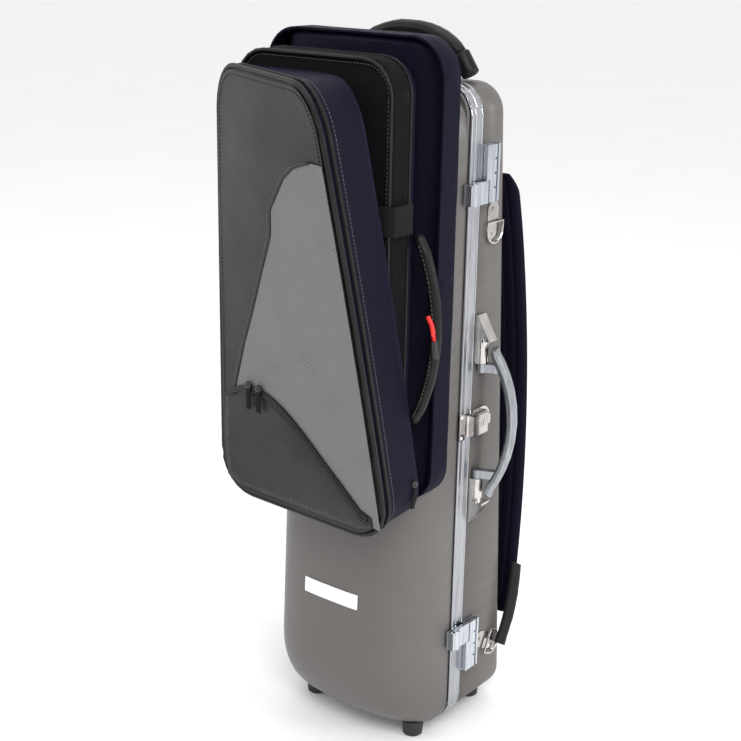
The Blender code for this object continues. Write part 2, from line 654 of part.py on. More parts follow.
def lock():
    mid_z = sum(LOCK_Z) / 2
    rim_x = RIM_HALF + GAP
    barrel_x = rim_x + LOCK_BARREL_RADIUS
    body("hasp", "lid", (barrel_x, LOCK_BARREL_Y, mid_z))
    body("lock_slide", "base", (RIM_HALF, SLIDE_Y[0], mid_z))
    body("lock_plug", "base", (RIM_HALF, PLUG_Y, mid_z))

    bm = bmesh.new()
    strike_x = rim_x + 0.0022
    add_box(bm, (rim_x, LOCK_STRIKE_Y[0], LOCK_Z[0]), (strike_x, LOCK_STRIKE_Y[1], LOCK_Z[1]))
    bevel(mesh_object("lock_strike_plate", bm, "chrome", "lid"), 0.0004)
    hasp_x = RIM_HALF + HASP_UNDERSIDE
    union_of("lock_hasp", "chrome", "hasp", (
        lambda bm: add_cylinder(bm, (barrel_x, LOCK_BARREL_Y, mid_z), LOCK_BARREL_RADIUS, HASP_Z[1] - HASP_Z[0],
                                "z", 16),
        lambda bm: add_box(bm, (barrel_x, LOCK_BARREL_Y, HASP_Z[0] + 0.0002),
                           (hasp_x + HASP_THICKNESS, LOCK_BARREL_Y + 0.0022, HASP_Z[1] - 0.0002)),
        lambda bm: add_box(bm, (hasp_x, LOCK_BARREL_Y + 0.001, HASP_Z[0] + 0.0004),
                           (hasp_x + HASP_THICKNESS - 0.0002, HASP_END_Y, HASP_Z[1] - 0.0004))))

    z0, z1 = LOCK_Z[0] + 0.003, LOCK_Z[1] - 0.003
    plate_round = (LOCK_Z[1] - LOCK_Z[0]) / 2 - 0.001
    lock_body = union_of("lock_body", "chrome", "base", (
        lambda bm: add_box(bm, (rim_x, LOCK_BODY_Y[0], z0), (RIM_HALF + LOCK_BODY_TOP, LOCK_BODY_Y[1], z1)),
        lambda bm: add_box(bm, (RIM_HALF + 0.004, LOCK_BOSS_Y, z0 + 0.0015),
                           (RIM_HALF + LOCK_BOSS_TOP, LOCK_BODY_Y[1] - 0.0006, z1 - 0.0015)),
        lambda bm: add_box(bm, (SHELL_X, BASE_RIM_Y[1] + 2 * GAP, LOCK_Z[0] + 0.001),
                           (RIM_HALF + LOCK_PLATE_TOP, LOCK_PLATE_END_Y - plate_round, LOCK_Z[1] - 0.001)),
        lambda bm: add_cylinder(bm, ((SHELL_X + RIM_HALF + LOCK_PLATE_TOP) / 2, LOCK_PLATE_END_Y - plate_round,
                                     mid_z), plate_round, RIM_HALF + LOCK_PLATE_TOP - SHELL_X - 0.00005, "x", 28)))
    bm = bmesh.new()
    plug_x = RIM_HALF + LOCK_BOSS_TOP - PLUG_DEPTH
    add_cylinder(bm, (plug_x + 0.01, PLUG_Y, mid_z), PLUG_RADIUS + GAP, 0.02, "x", 20)
    boolean(lock_body, cutter_object("cut_lock_bore", bm))

    bm = bmesh.new()
    add_cylinder(bm, (plug_x + GAP + PLUG_DEPTH / 2, PLUG_Y, mid_z), PLUG_RADIUS, PLUG_DEPTH, "x", 20)
    plug = mesh_object("lock_plug", bm, "chrome", "lock_plug")
    bm = bmesh.new()
    depth, height, length = KEYWAY[2], KEYWAY[1], KEYWAY[0]
    top = plug_x + GAP + PLUG_DEPTH
    add_box(bm, (top - depth, PLUG_Y - length / 2, mid_z - height / 2),
            (top + depth, PLUG_Y + length / 2, mid_z + height / 2))
    boolean(plug, cutter_object("cut_keyway", bm))

    bm = bmesh.new()
    slide_x = RIM_HALF + LOCK_PLATE_TOP + GAP
    add_box(bm, (slide_x, SLIDE_Y[0], mid_z - SLIDE_HEIGHT_Z / 2),
            (RIM_HALF + SLIDE_TOP, SLIDE_Y[1] - SLIDE_TRAVEL, mid_z + SLIDE_HEIGHT_Z / 2))
    bevel(mesh_object("lock_slide", bm, "chrome", "lock_slide"), 0.0008)


def handle_point(radial, across, z):
    """A point of the leaning side handle: radial out from the swing axis, across the grip."""
    lean = math.radians(SIDE_HANDLE_LEAN)
    x = SIDE_HANDLE_X + radial * math.cos(lean) - across * math.sin(lean)
    y = SIDE_HANDLE_Y + radial * math.sin(lean) + across * math.cos(lean)
    return (x, y, z)


def handle_radial(z):
    share = 1.0 - ((z - SIDE_HANDLE_MID_Z) / SIDE_HANDLE_HALF) ** 2
    return SIDE_HANDLE_RISE * max(share, 0.0) ** 0.8


def oval(count, width, height, power=2.6):
    """A rounded section centred on nothing, as (across, out) pairs."""
    points = []
    for i in range(count):
        angle = 2 * math.pi * i / count
        c, s = math.cos(angle), math.sin(angle)
        points.append((width / 2 * math.copysign(abs(c) ** (2 / power), c),
                       height / 2 * math.copysign(abs(s) ** (2 / power), s)))
    return points


def side_handle():
    body("side_handle", "base", (SIDE_HANDLE_X, SIDE_HANDLE_Y, SIDE_HANDLE_MID_Z))
    stations = 15
    rings = []
    low, high = SIDE_HANDLE_ENDS
    for i in range(stations):
        share = i / (stations - 1)
        z = low + (high - low) * (0.5 - 0.5 * math.cos(math.pi * share))
        radial = max(handle_radial(z), BRACKET_BARREL + RUNNING + SIDE_HANDLE_THICKNESS / 2 + 0.0012)
        step = 0.002
        slope = (handle_radial(min(z + step, high)) - handle_radial(max(z - step, low))) / (2 * step)
        slope = max(min(slope, 0.9), -0.9)
        taper = 0.78 if i in (0, stations - 1) else 1.0
        rings.append([])
        for across, out in oval(12, SIDE_HANDLE_WIDTH * taper, SIDE_HANDLE_THICKNESS * taper):
            tilt = math.atan(slope)
            rings[-1].append(handle_point(radial + out * math.cos(tilt), across, z - out * math.sin(tilt)))
    grip = mesh_object("side_handle_grip", loft(rings, True, True), "handle_silver", "side_handle")
    eyes = ((UPPER_BRACKET_Z[0] - GAP - EYE_HEIGHT / 2, "upper"), (LOWER_BRACKET_Z[1] + GAP + EYE_HEIGHT / 2, "lower"))
    for z, tag in eyes:
        bm = bmesh.new()
        add_cylinder(bm, (SIDE_HANDLE_X, SIDE_HANDLE_Y, z), EYE_RADIUS, EYE_HEIGHT, "z", 18)
        boolean(grip, cutter_object(f"handle_eye_{tag}", bm), "UNION")
        bm = bmesh.new()
        web = add_box(bm, (0.0, -0.0045, z - EYE_HEIGHT / 2 + 0.0003),
                      (handle_radial(z) * 0.92, 0.0045, z + EYE_HEIGHT / 2 - 0.0003))
        turn = Matrix.Translation((SIDE_HANDLE_X, SIDE_HANDLE_Y, 0)) @ Matrix.Rotation(
            math.radians(SIDE_HANDLE_LEAN), 4, "Z")
        bmesh.ops.transform(bm, matrix=turn, verts=web)
        boolean(grip, cutter_object(f"handle_web_{tag}", bm), "UNION")
        bm = bmesh.new()
        add_cylinder(bm, (SIDE_HANDLE_X, SIDE_HANDLE_Y, z), HANDLE_PIN_RADIUS + RUNNING, EYE_HEIGHT * 1.2, "z", 14)
        boolean(grip, cutter_object(f"handle_bore_{tag}", bm))
        inward = 1 if tag == "upper" else -1
        bm = bmesh.new()
        add_cylinder(bm, (SIDE_HANDLE_X, SIDE_HANDLE_Y, z + inward * 0.003), HANDLE_PIN_RADIUS, EYE_HEIGHT + 0.006,
                     "z", 14)
        mesh_object(f"side_handle_pin_{tag}", bm, "chrome", "base")

    y0, y1 = SIDE_HANDLE_Y - BRACKET_WIDTH / 2, SIDE_HANDLE_Y + BRACKET_WIDTH / 2
    nose = SIDE_HANDLE_X + BRACKET_NOSE
    barrel = SIDE_HANDLE_X + BRACKET_BARREL
    step_z = 0.0265
    for tag, z_wide, z_tip, sign in (("upper", UPPER_BRACKET_Z[0], UPPER_BRACKET_Z[1], 1),
                                     ("lower", LOWER_BRACKET_Z[1], LOWER_BRACKET_Z[0], -1)):
        profile = ((SHELL_X, z_wide), (SIDE_HANDLE_X, z_wide), (SIDE_HANDLE_X, z_wide + sign * step_z),
                   (nose, z_wide + sign * step_z), (nose - 0.001, z_wide + sign * (step_z + 0.003)),
                   (SHELL_X + 0.004, z_tip), (SHELL_X, z_tip))
        bm = loft([[(x, y0, z) for x, z in profile], [(x, y1, z) for x, z in profile]], True, True)
        bracket = mesh_object(f"handle_bracket_{tag}", bm, "chrome", "base")
        bm = bmesh.new()
        add_cylinder(bm, (SIDE_HANDLE_X, SIDE_HANDLE_Y, z_wide + sign * (step_z + 0.001) / 2), BRACKET_BARREL - 0.0001,
                     step_z + 0.0006, "z", 20)
        boolean(bracket, cutter_object(f"bracket_barrel_{tag}", bm), "UNION")
        bm = bmesh.new()
        add_cylinder(bm, (SIDE_HANDLE_X, SIDE_HANDLE_Y, z_wide), HANDLE_PIN_RADIUS + RUNNING, 0.020, "z", 14)
        boolean(bracket, cutter_object(f"bracket_bore_{tag}", bm))


def top_handle():
    lean = math.radians(SLEEVE_LEAN)
    foot_z = CASE_HEIGHT + RIM_PROUD + GAP
    direction = Vector((-math.sin(lean), 0.0, math.cos(lean)))
    foot = Vector((TOP_HANDLE_X, TOP_HANDLE_Y, foot_z + SLEEVE_RADIUS * math.sin(lean)))
    shoulder = foot + direction * SLEEVE_LENGTH
    middle = (foot + shoulder) / 2
    for side, tag in ((-1, "left"), (1, "right")):
        bm = bmesh.new()
        matrix = Matrix.Translation((side * middle.x, middle.y, middle.z)) @ Matrix.Rotation(-side * lean, 4, "Y")
        bmesh.ops.create_cone(bm, cap_ends=True, segments=18, radius1=SLEEVE_RADIUS, radius2=SLEEVE_RADIUS * 0.94,
                              depth=SLEEVE_LENGTH, matrix=matrix)
        bevel(mesh_object(f"top_handle_sleeve_{tag}", bm, "black_leather", "base"), 0.0012)

    start = shoulder + direction * (GAP + 0.0004)
    rise = CASE_HEIGHT + TOP_HANDLE_RISE - start.z
    rings = []
    stations = 15
    for i in range(stations):
        share = -1.0 + 2.0 * i / (stations - 1)
        angle = share * math.radians(90 - SLEEVE_LEAN) / 1.0
        reach = math.sin(angle) / math.sin(math.radians(90 - SLEEVE_LEAN))
        height = (math.cos(angle) - math.cos(math.radians(90 - SLEEVE_LEAN))) / (
            1 - math.cos(math.radians(90 - SLEEVE_LEAN)))
        swell = 1.0 - 0.22 * abs(share) ** 3
        ring = []
        for across, out in oval(12, TOP_HANDLE_WIDTH * swell, TOP_HANDLE_THICKNESS * swell, 2.3):
            ring.append((start.x * reach + out * math.sin(angle), TOP_HANDLE_Y + across,
                         start.z + rise * height + out * math.cos(angle)))
        rings.append(ring)
    mesh_object("top_handle_grip", loft(rings, True, True), "black_leather", "base")


def ring_plate(name, place, side):
    """A stadium-shaped plate on the side of the rear shell, with its two rivet heads."""
    width, height, thickness = RING_PLATE
    lobe = width / 2
    straight = height / 2 - lobe
    section = []
    for start, centre in ((0, straight), (180, -straight)):
        for step in range(9):
            angle = math.radians(start + 180 * step / 8)
            section.append((lobe * math.cos(angle), centre + lobe * math.sin(angle)))
    rings = [[place @ Vector((side * x, y, z)) for y, z in section] for x in (HALF + GAP, HALF + GAP + thickness)]
    plate = mesh_object(name, loft(rings, True, True), "chrome", "base")
    for number, along in enumerate((-height / 2 + RIVET_FROM_END, height / 2 - RIVET_FROM_END)):
        bm = bmesh.new()
        add_cylinder(bm, (side * (HALF + GAP + thickness), 0, along), RIVET_RADIUS, 2 * RIVET_HEIGHT, "x", 10)
        head = cutter_object(f"{name}_rivet_{number}", bm)
        head.data.transform(place)
        boolean(plate, head, "UNION")


def rings_and_plates():
    """Riveted plates with D-rings; turn is how each ring hangs, in degrees from straight down."""
    out = HALF + GAP + RING_PLATE[2]
    for tag, (y, z), turn, sides in (("upper", UPPER_RING, 0.0, (1,)), ("lower", LOWER_RING, LOWER_RING_TURN, (1, -1))):
        place = Matrix.Translation((0, y, z)) @ Matrix.Rotation(math.radians(turn), 4, "X")
        for side in sides:
            name = f"{tag}_{'right' if side > 0 else 'left'}"
            body("ring_" + name, "base", (side * (out + RING_LIFT), y, z))
            ring_plate("ring_plate_" + name, place, side)
            d_ring("d_ring_" + name, side, place, "ring_" + name)


def d_ring(name, side, place, body_name):
    thickness = RING_PLATE[2]
    x = side * (HALF + GAP + thickness + RING_LIFT)
    half = RING_WIDTH / 2
    points = [(x, -half, 0.0), (x, -half, -RING_DROP * 0.35)]
    for step in range(1, 8):
        angle = math.radians(180 + 180 * step / 8)
        points.append((x, half * math.cos(angle), -RING_DROP * 0.35 + RING_DROP * 0.65 * math.sin(angle)))
    points += [(x, half, -RING_DROP * 0.35), (x, half, 0.0)]
    item = wire(name, [place @ Vector(p) for p in points], RING_WIRE, "chrome", body_name, cyclic=True)
    return item


def wire(name, points, radius, finish, body_name, cyclic=False, resolution=2):
    curve = bpy.data.curves.new(name, "CURVE")
    curve.dimensions = "3D"
    curve.bevel_depth = radius
    curve.bevel_resolution = resolution
    curve.use_fill_caps = True
    spline = curve.splines.new("POLY")
    spline.points.add(len(points) - 1)
    for point, place in zip(spline.points, points):
        point.co = (*place, 1.0)
    spline.use_cyclic_u = cyclic
    curve.materials.append(finish_material(finish))
    item = bpy.data.objects.new(name, curve)
    COLLECTIONS[COLLECTION].objects.link(item)
    return hang(item, body_name)


def sheet(name, columns, rows, place, thickness, finish, body_name, offset=0.0):
    """A grid whose vertices are put where place(u, v) says, given its thickness."""
    bm = bmesh.new()
    bmesh.ops.create_grid(bm, x_segments=columns, y_segments=rows, size=1.0)
    for vert in bm.verts:
        vert.co = Vector(place((vert.co.x + 1) / 2, (vert.co.y + 1) / 2))
    item = mesh_object(name, bm, finish, body_name)
    solid = item.modifiers.new("thickness", "SOLIDIFY")
    solid.thickness = thickness
    solid.offset = offset
    return item


def strap_y(z):
    """Centre of the padded strap, bowed off the case's back."""
    low, high = STRAP_Z
    share = (z - low) / (high - low)
    bow = STRAP_BOW * math.sin(math.pi * min(max(share, 0.0), 1.0)) ** 0.7
    return rear_depth(z) + STRAP_STANDOFF + bow


def straps():
    for side, tag in ((1, "right"), (-1, "left")):
        def pad(u, v, side=side):
            z = STRAP_Z[0] + (STRAP_Z[1] - STRAP_Z[0]) * v
            end = min(v, 1 - v) * (STRAP_Z[1] - STRAP_Z[0])
            narrow = 1.0 if end > 0.022 else 0.72 + 0.28 * math.sin(math.pi / 2 * end / 0.022)
            x = side * STRAP_X + (u - 0.5) * STRAP_WIDTH * narrow
            return (x, strap_y(z), z)
        strap = sheet(f"backpack_strap_{tag}", 2, 16, pad, STRAP_THICKNESS, "navy_fabric", "base")
        bevel(strap, 0.004)

        ring_y, ring_z = LOWER_RING
        turn = math.radians(LOWER_RING_TURN)
        loop_y = ring_y + math.sin(turn) * (RING_DROP + 0.001)
        loop_z = ring_z - math.cos(turn) * (RING_DROP + 0.001)
        x_face = HALF + GAP + RING_PLATE[2] + RING_LIFT + RING_WIRE + GAP + WEBBING_THICKNESS
        top = (side * (STRAP_X + STRAP_WIDTH / 2 + WEBBING_THICKNESS), strap_y(0.150) - 0.004, 0.165)
        bottom = (side * x_face, loop_y, loop_z)

        def tail(u, v, top=top, bottom=bottom):
            bend = 0.004 * math.sin(math.pi * v)
            x = bottom[0] + (top[0] - bottom[0]) * v
            y = bottom[1] + (top[1] - bottom[1]) * v + (u - 0.5) * WEBBING_WIDTH * 0.8
            z = bottom[2] + (top[2] - bottom[2]) * v - (u - 0.5) * WEBBING_WIDTH * 0.5
            return (x + math.copysign(bend, x), y, z)
        sheet(f"strap_webbing_{tag}", 1, 6, tail, WEBBING_THICKNESS, "zip", "base")

    width, height, thickness = STRAP_PATCH
    middle = STRAP_Z[1] - height * 0.3
    bm = bmesh.new()
    add_box(bm, (-width / 2, 0.0, -height / 2), (width / 2, thickness, height / 2))
    lean = math.atan((REAR_DEPTH_BOTTOM - REAR_DEPTH_TOP) / CASE_HEIGHT)
    place = Matrix.Translation((0, rear_depth(middle) + GAP, middle)) @ Matrix.Rotation(lean, 4, "X")
    bmesh.ops.transform(bm, matrix=place, verts=bm.verts[:])
    mesh_object("strap_anchor_plate", bm, "black_leather", "base")


def label_plate():
    """A blank plate bent to the front shell."""
    width, height, thickness = LABEL

    def place(u, v):
        x = (u - 0.5) * width
        z = LABEL_Z + (v - 0.5) * height
        return (x, -(front_height(x, z) + GAP + thickness), z)
    sheet("label_plate", 8, 1, place, thickness, "label", "lid", offset=-1.0)


def carrier_back(x, z):
    """The carrier's back follows the front shell and bridges past its sides and top."""
    inside = min(max(z, FRONT_END_RISE), CASE_HEIGHT - FRONT_END_RISE)
    across = min(abs(x), HALF * 0.93)
    return min(-(front_height(across, inside) + CARRIER_BACK), CARRIER_EDGE_Y)


def carrier_edge(x, z):
    """The carrier's rear edge wraps the shell's sides and stays in front of it along the bottom."""
    return min(-(front_height(x, z) + CARRIER_BACK), CARRIER_EDGE_Y)


def carrier():
    low, high = CARRIER_Z
    stations = (0.36, 0.45, 0.54, 0.63, 0.72)
    ends = (-0.06, -0.02, 0.02, 0.06)

    def ring(inset, depth):
        points = outline(CARRIER_HALF - inset, low + inset, high - inset, max(CARRIER_CORNER - inset, 0.004),
                         9, stations, ends)
        return [(x, depth(x, z), z) for x, z in points]
    rings = [ring(0.0, lambda x, z: min(CARRIER_FRONT_Y - GAP, carrier_edge(x, z) - CARRIER_LIP)),
             ring(0.0, lambda x, z: carrier_edge(x, z) - 0.002),
             ring(0.002, carrier_edge)]
    rings += [ring(inset, carrier_back) for inset in (0.0095, 0.012, 0.016, 0.023, 0.034, 0.052, 0.078)]
    bowl("carrier_panel", rings, FABRIC, "navy_fabric", "lid", (0, 1, 0))


def tray(name, half, z_range, corner, open_y, face_y, edge, wall, finish, body_name, crown=0.0):
    """A fabric tray: side wall from open_y to face_y, rounded edge, crowned face."""
    low, high = z_range
    sign = 1 if face_y > open_y else -1

    def ring(inset, y):
        points = outline(half - inset, low + inset, high - inset, max(corner - inset, 0.004), 5)
        return [(x, y, z) for x, z in points]
    rings = [ring(0.0, open_y), ring(0.0, face_y - sign * edge)]
    rings += [ring(edge * (1 - math.cos(math.radians(a))), face_y - sign * edge * (1 - math.sin(math.radians(a))))
              for a in (45, 90)]
    if crown:
        rings += [ring(edge + 0.02, face_y + sign * crown * 0.6), ring(edge + 0.05, face_y + sign * crown)]
    return bowl(name, rings, wall, finish, body_name, (0, sign, 0))


def briefcase():
    half, z_range, corner = BRIEFCASE_HALF, BRIEFCASE_Z, BRIEFCASE_CORNER
    deepest = min(-(front_height(0.0, BRIEFCASE_Z[0]) + CARRIER_BACK), CARRIER_EDGE_Y)
    back_y = deepest - FABRIC - BRIEFCASE_BACK_SPACE
    tray("briefcase_front", half, z_range, corner, BRIEFCASE_SEAM_Y, BRIEFCASE_FRONT_Y, 0.004, FABRIC, "mesh_fabric",
         "lid", 0.003)
    zip_y = BRIEFCASE_SEAM_Y + GAP + BAG_TAPE / 2
    tray("briefcase_back", half, z_range, corner, zip_y + BAG_TAPE / 2 + GAP, back_y, 0.0030, FABRIC, "navy_fabric",
         "lid")
    frame_ring("briefcase_zip", half - 0.0004, z_range[0] + 0.0004, z_range[1] - 0.0004, corner,
               (zip_y - BAG_TAPE / 2, zip_y + BAG_TAPE / 2), FABRIC, "zip", "lid", 5, 0.0004)
    piping = outline(half - 0.0015, z_range[0] + 0.0015, z_range[1] - 0.0015, corner, 5)
    wire("briefcase_piping", [(x, BRIEFCASE_FRONT_Y - PIPING_RADIUS - GAP, z) for x, z in piping], PIPING_RADIUS,
         "black_leather", "lid", cyclic=True)

    low, high = BAG_HANDLE_Z
    y = (BRIEFCASE_SEAM_Y + back_y) / 2 + BAG_HANDLE_SET_BACK
    points = []
    x0 = half + GAP + BAG_HANDLE_RADIUS
    for i in range(13):
        share = i / 12
        z = low + (high - low) * share
        points.append((x0 + BAG_HANDLE_REACH * math.sin(math.pi * share) ** 0.75, y, z))
    return points


def bag_handle(points):
    wire("briefcase_handle", points, BAG_HANDLE_RADIUS, "black_leather", "lid", resolution=3)


def cover_twist(z):
    share = (z - COVER_Z[0]) / (COVER_Z[1] - COVER_Z[0])
    return math.radians(COVER_TWIST_BOTTOM + (COVER_TWIST_TOP - COVER_TWIST_BOTTOM) * share)


def cover_point(s, depth, z, crown=0.0):
    """A point of the cover: s across from its left edge, depth back from its face."""
    twist = cover_twist(z)
    share = s / COVER_WIDTH
    x = COVER_LEFT + s * math.cos(twist) - COVER_LEAN_IN * depth * share
    y = COVER_HINGE_Y - GAP - COVER_DEPTH + depth - s * math.sin(twist) - crown
    return (x, y, z)


def cover_outline(inset, stations=()):
    half = COVER_WIDTH / 2
    points = outline(half - inset, COVER_Z[0] + inset, COVER_Z[1] - inset, max(COVER_CORNER - inset, 0.006), 5,
                     stations, (-0.04, 0.0, 0.04))
    return [(x + half, z) for x, z in points]


COVER_STATIONS = (0.38, 0.46, 0.54, 0.62, 0.68)


def cover_crown(s, z):
    across = math.sin(math.pi * min(max(s / COVER_WIDTH, 0.0), 1.0))
    up = math.sin(math.pi * min(max((z - COVER_Z[0]) / (COVER_Z[1] - COVER_Z[0]), 0.0), 1.0))
    return COVER_CROWN * across * min(up * 2.0, 1.0)


def cover():
    body("cover", "lid", (COVER_LEFT - 0.002, COVER_HINGE_Y, sum(COVER_Z) / 2))

    def clear(point):
        """Holds the gusset in front of the shell at the bottom and of the briefcase at the top."""
        x, y, z = point
        limit = -(front_height(x, z) + 0.0016) if z < BRIEFCASE_Z[0] else y
        if z > COVER_Z[1] - 1.3 * COVER_CORNER and abs(x) < BRIEFCASE_HALF + 0.0155:
            limit = BRIEFCASE_FRONT_Y - 2 * PIPING_RADIUS - 0.0040
        return (x, min(y, limit), z)

    def ring(inset, depth, crowned):
        return [clear(cover_point(s, depth, z, cover_crown(s, z) if crowned else 0.0))
                for s, z in cover_outline(inset, COVER_STATIONS)]
    rings = [ring(0.0, COVER_DEPTH, False), ring(0.0, COVER_DEPTH / 2, False), ring(0.0, 0.0045, False),
             ring(0.0015, 0.0012, False), ring(0.0050, 0.0, False), ring(0.020, 0.0, True), ring(0.045, 0.0, True),
             ring(0.085, 0.0, True)]
    bowl("cover_panel", rings, FABRIC, "grey_leather", "cover", (0, -1, 0))
    edge = [cover_point(s, 0.0008, z) for s, z in cover_outline(-PIPING_RADIUS - GAP, COVER_STATIONS)]
    wire("cover_piping", edge, PIPING_RADIUS, "black_leather", "cover", cyclic=True)


def pocket():
    """The lower leather pocket with its arched zip and two sliders."""
    low = COVER_Z[0] + 0.010

    def arch(s):
        share = s / COVER_WIDTH
        return COVER_Z[0] + 0.068 + (POCKET_HEIGHT - 0.068) * math.sin(math.pi * min(0.93 * share + 0.16, 1.0)) - 0.040 * share

    margin = 0.012

    def place(u, v):
        s = margin + (COVER_WIDTH - 2 * margin) * u
        corner = max(0.0, COVER_CORNER - 0.012 - min(s, COVER_WIDTH - s))
        bottom = low + corner * corner / 0.055
        z = bottom + (arch(s) - bottom) * v
        crown = cover_crown(s, z) + 0.0005 + POCKET_THICKNESS * (0.45 + 0.4 * math.sin(math.pi * v))
        return cover_point(s, 0.0, z, crown)
    sheet("pocket_panel", 14, 5, place, 0.0030, "grey_leather", "cover", offset=0.0)
    return arch


def slider_frame(top, down, outward):
    """Axes of a slider: X across, Y along the pull, Z away from the cloth."""
    along, out = Vector(down).normalized(), Vector(outward).normalized()
    out = (out - along * out.dot(along)).normalized()
    turn = Matrix((along.cross(out), along, out)).transposed().to_4x4()
    return Matrix.Translation(Vector(top)) @ turn


def pull_tab(name, place, body_parent, length):
    """A zip slider's pull tab, which swings on the slider's bridge."""
    width, thickness = PULL_SECTION
    body(name, body_parent, place @ Vector((0, 0.0008, GAP + thickness / 2)))
    bm = bmesh.new()
    verts = add_box(bm, (-width / 2, -0.0004, GAP), (width / 2, length, GAP + thickness))
    bmesh.ops.transform(bm, matrix=place, verts=verts)
    bevel(mesh_object(name, bm, "zip", name), 0.0007)


def zip_pulls(arch):
    for name, s in (("pocket_pull_left", 0.062), ("pocket_pull_right", 0.080)):
        z = arch(s) - 0.001
        base = cover_point(s, 0.0, z, cover_crown(s, z) + PULL_STANDOFF)
        pull_tab(name, slider_frame(base, (0, 0, -1), (0, -1, 0)), "cover", PULL_LENGTH)
    corner_z = COVER_Z[0] + COVER_CORNER
    base = Vector(cover_point(COVER_WIDTH, COVER_DEPTH * 0.90, corner_z))
    pull_tab("corner_pull", slider_frame(base, (0, -0.25, -1), (1, 0, 0)), "cover", PULL_LENGTH)


def settle_origin():
    """Moves everything so that the origin is under the middle of the bounding box."""
    bpy.context.view_layer.update()
    graph = bpy.context.evaluated_depsgraph_get()
    low = Vector((math.inf,) * 3)
    high = Vector((-math.inf,) * 3)
    for item in COLLECTIONS[COLLECTION].objects:
        if item.type == "EMPTY":
            continue
        shape = item.evaluated_get(graph)
        mesh = shape.to_mesh()
        for vert in mesh.vertices:
            place = shape.matrix_world @ vert.co
            low = Vector(map(min, low, place))
            high = Vector(map(max, high, place))
        shape.to_mesh_clear()
    BODIES["base"][0].location = (-(low.x + high.x) / 2, -(low.y + high.y) / 2, -low.z)
    bpy.context.view_layer.update()


def build():
    clear_scene()
    body("base")
    body("lid", "base", (HINGE_X, PARTING_Y, CASE_HEIGHT / 2))
    front_shell()
    rear_shell()
    rims()
    foams()
    feet()
    hinge()
    latch("upper", UPPER_LATCH_Z)
    latch("lower", LOWER_LATCH_Z)
    lock()
    side_handle()
    top_handle()
    rings_and_plates()
    straps()
    label_plate()
    carrier()
    bag_handle(briefcase())
    cover()
    zip_pulls(pocket())
    settle_origin()


build()
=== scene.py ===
import json
import math

import bmesh
import bpy
from mathutils import Matrix, Vector, noise


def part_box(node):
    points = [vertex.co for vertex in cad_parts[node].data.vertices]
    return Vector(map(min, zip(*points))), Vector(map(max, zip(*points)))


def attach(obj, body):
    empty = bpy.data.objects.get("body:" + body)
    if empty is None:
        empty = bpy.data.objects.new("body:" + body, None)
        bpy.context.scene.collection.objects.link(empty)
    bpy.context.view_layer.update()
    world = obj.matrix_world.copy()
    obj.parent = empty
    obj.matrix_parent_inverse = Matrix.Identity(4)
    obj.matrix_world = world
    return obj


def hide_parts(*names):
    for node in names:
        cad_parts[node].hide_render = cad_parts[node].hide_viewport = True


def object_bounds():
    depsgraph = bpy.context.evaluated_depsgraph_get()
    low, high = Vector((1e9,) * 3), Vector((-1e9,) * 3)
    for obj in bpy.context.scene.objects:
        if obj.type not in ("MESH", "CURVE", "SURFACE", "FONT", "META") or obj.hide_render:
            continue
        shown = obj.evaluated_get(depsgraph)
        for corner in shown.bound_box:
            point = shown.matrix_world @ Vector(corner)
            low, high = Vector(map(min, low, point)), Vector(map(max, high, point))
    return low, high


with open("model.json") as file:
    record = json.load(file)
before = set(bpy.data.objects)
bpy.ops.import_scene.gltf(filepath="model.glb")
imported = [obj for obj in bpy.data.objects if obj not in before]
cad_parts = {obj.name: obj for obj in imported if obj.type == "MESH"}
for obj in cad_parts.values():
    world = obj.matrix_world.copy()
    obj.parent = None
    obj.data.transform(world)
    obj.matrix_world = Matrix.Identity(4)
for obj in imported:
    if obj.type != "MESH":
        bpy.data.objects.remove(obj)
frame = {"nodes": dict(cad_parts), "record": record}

START_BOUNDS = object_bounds()


def corners_of(node):
    """The low and the high corner of a node's box."""
    return [Vector(corner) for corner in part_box(node)]


# The case's own frame: x from its middle, y from the rim's front plane, z from the shell's underside
RIM_LOW, RIM_HIGH = corners_of("lid_rim")
RIM_PROUD = 0.0012
ORIGIN = Vector(((RIM_LOW.x + RIM_HIGH.x) / 2, RIM_LOW.y, RIM_LOW.z + RIM_PROUD))

# Sizes that follow the CAD's own, in metres
CASE_HEIGHT = 0.740
HALF_WIDTH = 0.1055
CORNER_RADIUS = 0.0312
REAR_DEPTH = (0.1155, 0.0679)
STRAP_X = 0.080
STRAP_WIDTH = 0.062
STRAP_THICKNESS = 0.013
STRAP_Z = (0.098, 0.640)
STRAP_BOW = 0.030
STRAP_STANDOFF = 0.0085
COVER_LEFT = -0.1190
COVER_FACE_Y = -0.1383
COVER_WIDTH = 0.2400
COVER_Z = (0.287, 0.757)
COVER_CORNER = 0.045
COVER_TWIST = (2.0, 25.5)
COVER_CROWN = 0.0070
COVER_LEAN_IN = 0.10
POCKET_LOW = 0.068
POCKET_HEIGHT = 0.150
POCKET_BOW = 0.93
POCKET_BOW_START = 0.16
POCKET_FALL = 0.040
BRIEFCASE_HALF = 0.1010
BRIEFCASE_Z = (0.330, 0.774)
BRIEFCASE_CORNER = 0.035

# Sizes of the trim, and the angles in degrees over which an edge stays sharp
FACING_OUT = (0, -1, 0)
PIPING_RADIUS = 0.0026
TAPE_RADIUS = 0.0013
STITCH_PITCH = 0.0042
STITCH_SIZE = (0.0026, 0.0006, 0.0006)
LINE_STEP = 0.012
SMALLEST_CORNER = 0.008
SHARP_ANGLE = 35.0
SOFT_ANGLE = 60.0


def place(x, y, z):
    return ORIGIN + Vector((x, y, z))


# Materials

RAMP_ENDS = (0.3, 0.7)
SHEEN_ROUGHNESS = 0.45
COAT_ROUGHNESS = 0.30
SHELL_RIBS = 210.0
SHELL_RIB_ANGLES = (42.0, -48.0)


def shader_of(item):
    return item.node_tree.nodes["Principled BSDF"]


